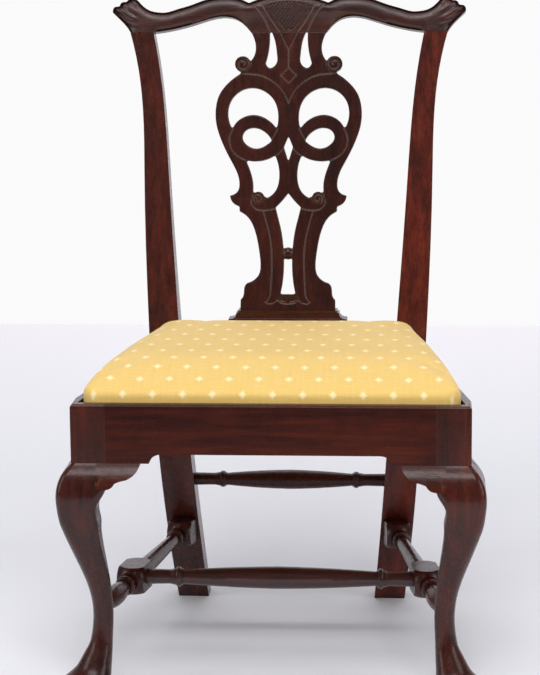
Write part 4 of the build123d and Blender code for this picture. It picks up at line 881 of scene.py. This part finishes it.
class Carving:
    """A fine even mesh of crest and splat in the frame of the back, to cut into and take apart again."""

    def __init__(self):
        whole = bmesh.new()
        whole.from_mesh(back_part("crest_rail", 0.0))
        whole.from_mesh(back_part("back_splat", JOINT_LAP))
        mesh = bpy.data.meshes.new("back_carved")
        whole.to_mesh(mesh)
        self.solid = BVHTree.FromBMesh(whole)
        whole.free()
        piece = new_object("back_carved", mesh)
        remesh = piece.modifiers.new("remesh", "REMESH")
        remesh.mode = "VOXEL"
        remesh.voxel_size = CARVING_VOXEL * MM
        smooth = piece.modifiers.new("smooth", "SMOOTH")
        smooth.factor = 0.5
        smooth.iterations = 4
        shaped = piece.evaluated_get(bpy.context.evaluated_depsgraph_get())
        self.mesh = bpy.data.meshes.new_from_object(shaped)
        bpy.data.objects.remove(piece)
        self.read()

    def read(self):
        count = len(self.mesh.vertices)
        points = np.zeros(3 * count)
        normals = np.zeros(3 * count)
        self.mesh.vertices.foreach_get("co", points)
        self.mesh.vertices.foreach_get("normal", normals)
        self.points = points.reshape(-1, 3) * 1000
        self.normals = normals.reshape(-1, 3)
        self.places = np.stack((np.abs(self.points[:, 0]), self.points[:, 1]), 1)
        self.cut = np.zeros(count)

    def write(self):
        self.mesh.vertices.foreach_set("co", (self.points * MM).ravel())
        self.mesh.update()
        self.read()

    def settle(self):
        """Puts the front face round the joint back on the surface of the CAD nodes."""
        x, up = self.places.T
        near = (np.abs(up - CREST_JOINT) < SETTLE_REACH) & (x < JOINT_HALF) & (self.normals[:, 2] > 0.6)
        for number in np.flatnonzero(near):
            start = Vector(self.points[number] * MM)
            start.z = 0.02
            hit = self.solid.ray_cast(start, Vector((0, 0, -1)))[0]
            if hit:
                self.points[number, 2] = hit.z * 1000
        self.write()

    def refine(self, samples, reach):
        """Divides the front faces near these lines once more."""
        near = np.zeros(len(self.points), bool)
        front = self.normals[:, 2] > 0.4
        near[front] = distance(self.places[front], samples) < reach
        work = bmesh.new()
        work.from_mesh(self.mesh)
        work.verts.ensure_lookup_table()
        edges = [e for e in work.edges if near[e.verts[0].index] and near[e.verts[1].index]]
        bmesh.ops.subdivide_edges(work, edges=edges, cuts=1, use_grid_fill=True)
        work.to_mesh(self.mesh)
        work.free()
        self.read()

    def front(self):
        """1 where the mesh faces forward, easing to 0 on its walls and back."""
        return smooth_step(self.normals[:, 2], *FRONT_FACING)

    def groove(self, samples, width, depth, fade=None):
        """Cuts a round-bottomed line into the front, pale with old wax unless its depth fades by place."""
        share = np.clip(1 - (distance(self.places, samples) / width) ** 2, 0, 1) * self.front()
        if fade is None:
            self.cut = np.maximum(self.cut, share)
        else:
            share = share * fade
        self.points[:, 2] -= depth * share

    def take(self, node, side, material):
        """The part above (1) or below (-1) the joint as a closed piece in place of its CAD node."""
        work = bmesh.new()
        work.from_mesh(self.mesh)
        everything = [*work.verts, *work.edges, *work.faces]
        plane = {"plane_co": (0, CREST_JOINT * MM, 0), "plane_no": (0, side, 0)}
        found = bmesh.ops.bisect_plane(work, geom=everything, clear_inner=True, **plane)["geom_cut"]
        for face in work.faces:
            face.smooth = True
        rim = [edge for edge in found if isinstance(edge, bmesh.types.BMEdge)]
        caps = bmesh.ops.holes_fill(work, edges=rim, sides=0)["faces"]
        for face in caps:
            face.smooth = False
        bmesh.ops.recalc_face_normals(work, faces=work.faces)
        bmesh.ops.triangulate(work, faces=caps)
        work.transform(BACK_FRAME)
        mesh = bpy.data.meshes.new(node + "_carved")
        work.to_mesh(mesh)
        work.free()
        piece = new_object(node + "_carved", mesh)
        wear(piece, material)
        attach(piece, "chair_frame")
        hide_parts(node)


# Lines of the splat on one half, across and up from its foot
SPLAT_LINES = (
    ((76, 369), (60, 367.5), (44, 365.5), (28, 358), (14, 346.5), (5, 334), (0, 322)),
    ((86, 283), (91.5, 268), (88, 251), (79, 241), (66, 234)),
    ((17, 283), (21, 274), (27, 264)),
    ((20, 241), (14, 245), (7.5, 252)),
    ((57, 174), (56.5, 166), (51, 159.5), (43, 157), (33, 157), (22, 159)),
    ((38, 155), (33, 137), (28, 116), (25.5, 96), (25, 72), (26, 46), (27.5, 26), (32, 17), (35, 15)),
    ((35, 15), (30, 12.5), (24, 13), (19, 15.5), (17, 18)),
    ((17, 18), (10, 13.5), (0, 12)),
    ((0, 404), (0, 390), (0, 378)),
    ((13, 431), (9, 422), (4, 412), (0, 404)),
    ((0, 377), (12, 365)),
    ((12, 365), (0, 353)),
)
SCROLLS = (
    ((71.2, 382.5), 10.5, 3.0, 130, 1.2),
    ((46.2, 174.5), 8.0, 2.5, -60, 1.2),
)
SPLAT_LENS = ((17, 18), (10, 13.5), (0, 12), (0, 24), (17, 24))
# Lines of the crest on one half
ARM_EDGE = ((62, 480), (48, 466), (38, 452), (31, 438), (28, 431))
FAN_SIDE = ((41, 473), (33, 459), (23, 444), (13, 431))
FAN_TOP = ((41, 473), (22, 478.5), (0, 480.5))
EAR_GROOVES = (
    ((262, 453), (247, 441), (232, 435)),
    ((269, 464), (252, 452), (234, 445)),
    ((259, 474), (246, 463), (229, 454)),
    ((247, 483), (239, 471), (225, 461)),
)


def round_crest(work):
    """Rounds the arms of the crest at the front and the back; the splat stays flat."""
    x, up = work.places.T
    wall = np.abs(work.normals[:, 2]) < 0.5
    foot = (work.normals[:, 1] < -0.6) & (x > CREST_FOOT[0]) & (x < CREST_FOOT[1])
    sockets = (x < SPLAT_SOCKET) | (x > STILE_SOCKET[0]) & (x < STILE_SOCKET[1])
    sockets &= up < CREST_JOINT + SOCKET_HEIGHT
    rim = work.places[wall & ~foot & ~sockets & (up > CREST_JOINT - 20)]
    far = distance(work.places, rim)
    ease = np.where(x < 150, smooth_step(up, CREST_JOINT - 10, CREST_JOINT + 40), 1.0)
    for sign, radius in CREST_ROUNDS:
        facing = smooth_step(sign * work.normals[:, 2], 0.2, 0.7)
        reach = np.clip(radius - far, 0, radius)
        fall = radius - np.sqrt(radius * radius - reach * reach)
        work.points[:, 2] -= sign * facing * ease * ROUND_SHARE * fall
    work.write()


def cut_fan(work, fan, edge):
    """Sunk fan in the middle of the crest, cut across with fine diagonal lines."""
    deep = np.clip(distance(work.places, fan) / FAN_EASE, 0, 1) * inside(work.places, edge) * work.front()
    lines = np.zeros(len(work.points))
    for slope in (HATCH_SLOPE, -HATCH_SLOPE):
        along = work.points[:, 0] + work.points[:, 1] * slope
        far = np.abs(along % HATCH_PITCH - HATCH_PITCH / 2)
        lines = np.maximum(lines, np.clip(1 - far / HATCH_HALF, 0, 1))
    work.points[:, 2] -= deep * (FAN_DEPTH + HATCH_DEPTH * lines)
    # The hatch grooves get a negative cut, which the wood's colour turns into painted shade
    work.cut -= deep * lines
    work.groove(fan, *FAN_CUT)


def carve_back(crest_wood, splat_wood):
    """Cuts the lines, the fan, the flutes and the hollow at the foot, and sets both pieces in place."""
    work = Carving()
    work.settle()
    round_crest(work)
    lines = np.vstack([sweep(points) for points in SPLAT_LINES])
    scrolls = np.vstack([scroll(*values) for values in SCROLLS])
    arm = sweep(ARM_EDGE)
    ears = np.vstack([sweep(points) for points in EAR_GROOVES])
    fan = np.vstack((sweep(FAN_SIDE), sweep(FAN_TOP)))
    edge = np.vstack((fan, [(0, CREST_JOINT)]))
    hatch = np.array([(a, b) for a in np.arange(0, 44, 2.0) for b in np.arange(430, 482, 2.0)])
    work.refine(np.vstack((lines, scrolls, arm, ears, fan, hatch[inside(hatch, edge)])), REFINE_REACH)
    work.groove(lines, *LINE_CUT)
    work.groove(scrolls, *SCROLL_CUT)
    work.groove(arm, *ARM_CUT)
    cut_fan(work, fan, edge)
    work.groove(ears, *EAR_CUT, smooth_step(work.places[:, 0], *EAR_FADE))
    lens = sweep(SPLAT_LENS, 1.0)
    scoop = inside(work.places, lens) * np.clip(distance(work.places, lens) / LENS_EASE, 0, 1)
    work.points[:, 2] -= LENS_DEPTH * scoop * work.front()
    x, up = work.places.T
    joint = (1 - smooth_step(np.abs(up - CREST_JOINT), *JOINT_EASE)) * (x < JOINT_HALF)
    for name, values in (("cut", work.cut), ("joint", joint)):
        work.mesh.attributes.new(name, "FLOAT", "POINT").data.foreach_set("value", values)
    work.write()
    work.take("crest_rail", 1, crest_wood)
    work.take("back_splat", -1, splat_wood)


# Materials of the CAD nodes: the axis of the grain and a shift for the figure
MAHOGANY = {
    "front_leg_right": ("Z", 1.0),
    "front_leg_left": ("Z", 2.3),
    "front_knee_bracket_right": ("X", 3.1),
    "front_knee_bracket_left": ("X", 4.7),
    "side_knee_bracket_right": ("Y", 5.2),
    "side_knee_bracket_left": ("Y", 6.9),
    "front_seat_rail": ("X", 7.4),
    "side_seat_rail_right": ("Y", 8.8),
    "side_seat_rail_left": ("Y", 9.1),
    "rear_seat_rail": ("X", 10.6),
    "rear_leg_right": ("Z", 11.3),
    "rear_leg_left": ("Z", 12.7),
    "crest_rail": ("X", 13.2),
    "back_splat": ("Z", 14.9),
    "splat_shoe": ("X", 15.5),
    "side_stretcher_right": ("Y", 16.1),
    "side_stretcher_left": ("Y", 17.8),
    "medial_stretcher": ("X", 18.3),
    "rear_stretcher": ("X", 19.6),
}
# Tone, gloss and added dullness of the boards that are not the usual ones
USUAL_FINISH = (1.0, 0.32, 0.0)
FINISH = {
    "rear_leg_right": (1.38, 0.36, 0.0),
    "rear_leg_left": (1.08, 0.45, 0.0),
    "back_splat": (0.78, 0.38, 0.02),
    "crest_rail": (0.92, 0.60, 0.12),
    "front_seat_rail": (1.0, 0.15, 0.0),
    "medial_stretcher": (1.0, 0.62, 0.06),
}
PINE = {
    "front_corner_block_right": ("Z", 1.0),
    "front_corner_block_left": ("Z", 2.2),
    "rear_corner_block_right": ("Z", 3.5),
    "rear_corner_block_left": ("Z", 4.4),
    "slip_frame_front": ("X", 5.1),
    "slip_frame_rear": ("X", 6.8),
    "slip_frame_right": ("Y", 7.3),
    "slip_frame_left": ("Y", 8.9),
}


MAHOGANY_EDGE = 0.0009
PINE_EDGE = 0.0006
EDGE_ANGLE = 32


def soften(node, width):
    """Rounds the hard edges of a CAD node with modifiers; its mesh stays as it is."""
    weld = node.modifiers.new("weld", "WELD")
    weld.merge_threshold = 0.00002
    bevel = node.modifiers.new("bevel", "BEVEL")
    bevel.width = width
    bevel.segments = 2
    bevel.limit_method = "ANGLE"
    bevel.angle_limit = math.radians(EDGE_ANGLE)
    bevel.use_clamp_overlap = True
    bevel.harden_normals = False
    normals = node.modifiers.new("normals", "WEIGHTED_NORMAL")
    normals.keep_sharp = False


def dress_nodes():
    for name, (axis, shift) in MAHOGANY.items():
        finish = FINISH.get(name, USUAL_FINISH)
        wear(nodes[name], mahogany("mahogany_" + name, axis, shift, *finish))
        soften(nodes[name], MAHOGANY_EDGE)
    carve_back(nodes["crest_rail"].data.materials[0], nodes["back_splat"].data.materials[0])
    for name, (axis, shift) in PINE.items():
        wear(nodes[name], pine("pine_" + name, axis, shift))
        soften(nodes[name], PINE_EDGE)
    wear(nodes["cover_tacks"], iron("tack_iron"))


# Pale floor with painted shade, darker from the front towards a band behind the chair, and a backdrop
# behind it that throws light back but is not in the picture
FLOOR_HALF = 2.4
FLOOR_FRONT = -1.6
FLOOR_REAR = 2.6
BACKDROP_HALF = 7.0
BACKDROP_SWEEP = 1.6
BACKDROP_TOP = 6.0
SWEEP_STEPS = 24


def paper():
    sheet = Shader("floor_paper")
    tone = sheet.noise(sheet.place(), 1.2, 2.0, 0.5)
    split = sheet.add("SeparateXYZ", {"Vector": sheet.add("TexCoord").outputs["Object"]})
    depth = sheet.fit(split.outputs["Y"], FLOOR_FRONT, FLOOR_REAR)
    # Painted shade: the floor colour darkens with depth from the front to a band behind the chair, then
    # lightens a little towards the rear
    shade = sheet.ramp(
        depth,
        (0.26, rgb(242, 243, 248)),
        (0.34, rgb(231, 232, 238)),
        (0.50, rgb(213, 213, 219)),
        (0.70, rgb(219, 219, 225)),
        (1.00, rgb(226, 224, 228)),
    )
    spots = sheet.fit(tone, 0.3, 0.7, 0.0, 0.12)
    sheet.set(Base_Color=sheet.mix(spots, shade, rgb(214, 215, 222)))
    sheet.set(Roughness=sheet.fit(tone, 0.3, 0.7, 0.55, 0.7), Specular_IOR_Level=0.2)
    return sheet.material


def stage_sheet(name, profile, half, material):
    """A sheet of one width along a profile in depth and height."""
    points = []
    faces = []
    for number, (y, z) in enumerate(profile):
        points += [(-half, y, z), (half, y, z)]
        if number:
            corner = 2 * number
            faces.append((corner - 2, corner - 1, corner + 1, corner))
    sheet = new_object(name, mesh_from(name, points, faces))
    wear(sheet, material)
    return sheet


def make_stage():
    material = paper()
    stage_sheet("floor", ((FLOOR_FRONT, 0.0), (FLOOR_REAR, 0.0)), FLOOR_HALF, material)
    profile = []
    for step in range(SWEEP_STEPS + 1):
        turn = math.pi / 2 * step / SWEEP_STEPS
        y = FLOOR_REAR + BACKDROP_SWEEP * math.sin(turn)
        profile.append((y, BACKDROP_SWEEP * (1 - math.cos(turn))))
    profile.append((FLOOR_REAR + BACKDROP_SWEEP, BACKDROP_TOP))
    backdrop = stage_sheet("backdrop", profile, BACKDROP_HALF, material)
    backdrop.visible_camera = False


# Strength of the world: its light, what is added for glossy rays, and what is added for the camera
WORLD_LIGHT = 0.28
WORLD_GLOSS = -0.14
WORLD_SEEN = 0.68
# Lamps: name, place, target, size, power, and whether polish reflects it
LAMPS = (
    ("front", (0.3, -3.1, 2.9), (0, 0, 0.5), (2.4, 1.2), 58, False),
    ("crown", (-0.2, -1.9, 3.4), (0, 0, 0.4), (2.4, 1.2), 46, True),
    ("left", (-2.7, -1.1, 1.5), (0, 0, 0.5), (1.2, 2.2), 22, True),
    ("right", (2.7, -1.1, 1.5), (0, 0, 0.5), (1.2, 2.2), 22, True),
    ("top", (0.0, 0.1, 3.1), (0, 0, 0.4), (2.4, 2.0), 14, True),
    ("rear", (0.0, 2.2, 3.4), (0, 4.2, 1.0), (5.0, 0.8), 95, True),
)


def area_light(name, place, target, size, power, gloss):
    data = bpy.data.lights.new(name, "AREA")
    data.shape = "RECTANGLE"
    data.size, data.size_y = size
    data.energy = power
    lamp = new_object(name, data)
    lamp.visible_glossy = gloss
    lamp.location = place
    lamp.rotation_euler = (Vector(target) - Vector(place)).to_track_quat("-Z", "Y").to_euler()


def make_light():
    world = bpy.data.worlds.new("studio")
    world.use_nodes = True
    tree = world.node_tree
    sky = tree.nodes["Background"]
    sky.inputs["Color"].default_value = (1.0, 1.0, 1.0, 1.0)
    path = tree.nodes.new("ShaderNodeLightPath")
    seen = tree.nodes.new("ShaderNodeMath")
    seen.operation = "MULTIPLY_ADD"
    tree.links.new(path.outputs["Is Glossy Ray"], seen.inputs[0])
    seen.inputs[1].default_value = WORLD_GLOSS
    seen.inputs[2].default_value = WORLD_LIGHT
    white = tree.nodes.new("ShaderNodeMath")
    white.operation = "MULTIPLY_ADD"
    tree.links.new(path.outputs["Is Camera Ray"], white.inputs[0])
    white.inputs[1].default_value = WORLD_SEEN
    tree.links.new(seen.outputs["Value"], white.inputs[2])
    tree.links.new(white.outputs["Value"], sky.inputs["Strength"])
    bpy.context.scene.world = world
    for lamp in LAMPS:
        area_light(*lamp)


def make_view():
    bpy.context.scene.view_settings.view_transform = "Standard"


make_camera()
make_view()
make_stage()
make_light()
dress_nodes()
make_cushion(fabric("yellow_cloth"))
make_webbing(woven("jute_webbing", *JUTE, JUTE_STRIPE))
make_sacking(woven("sackcloth", *SACK_YARN))
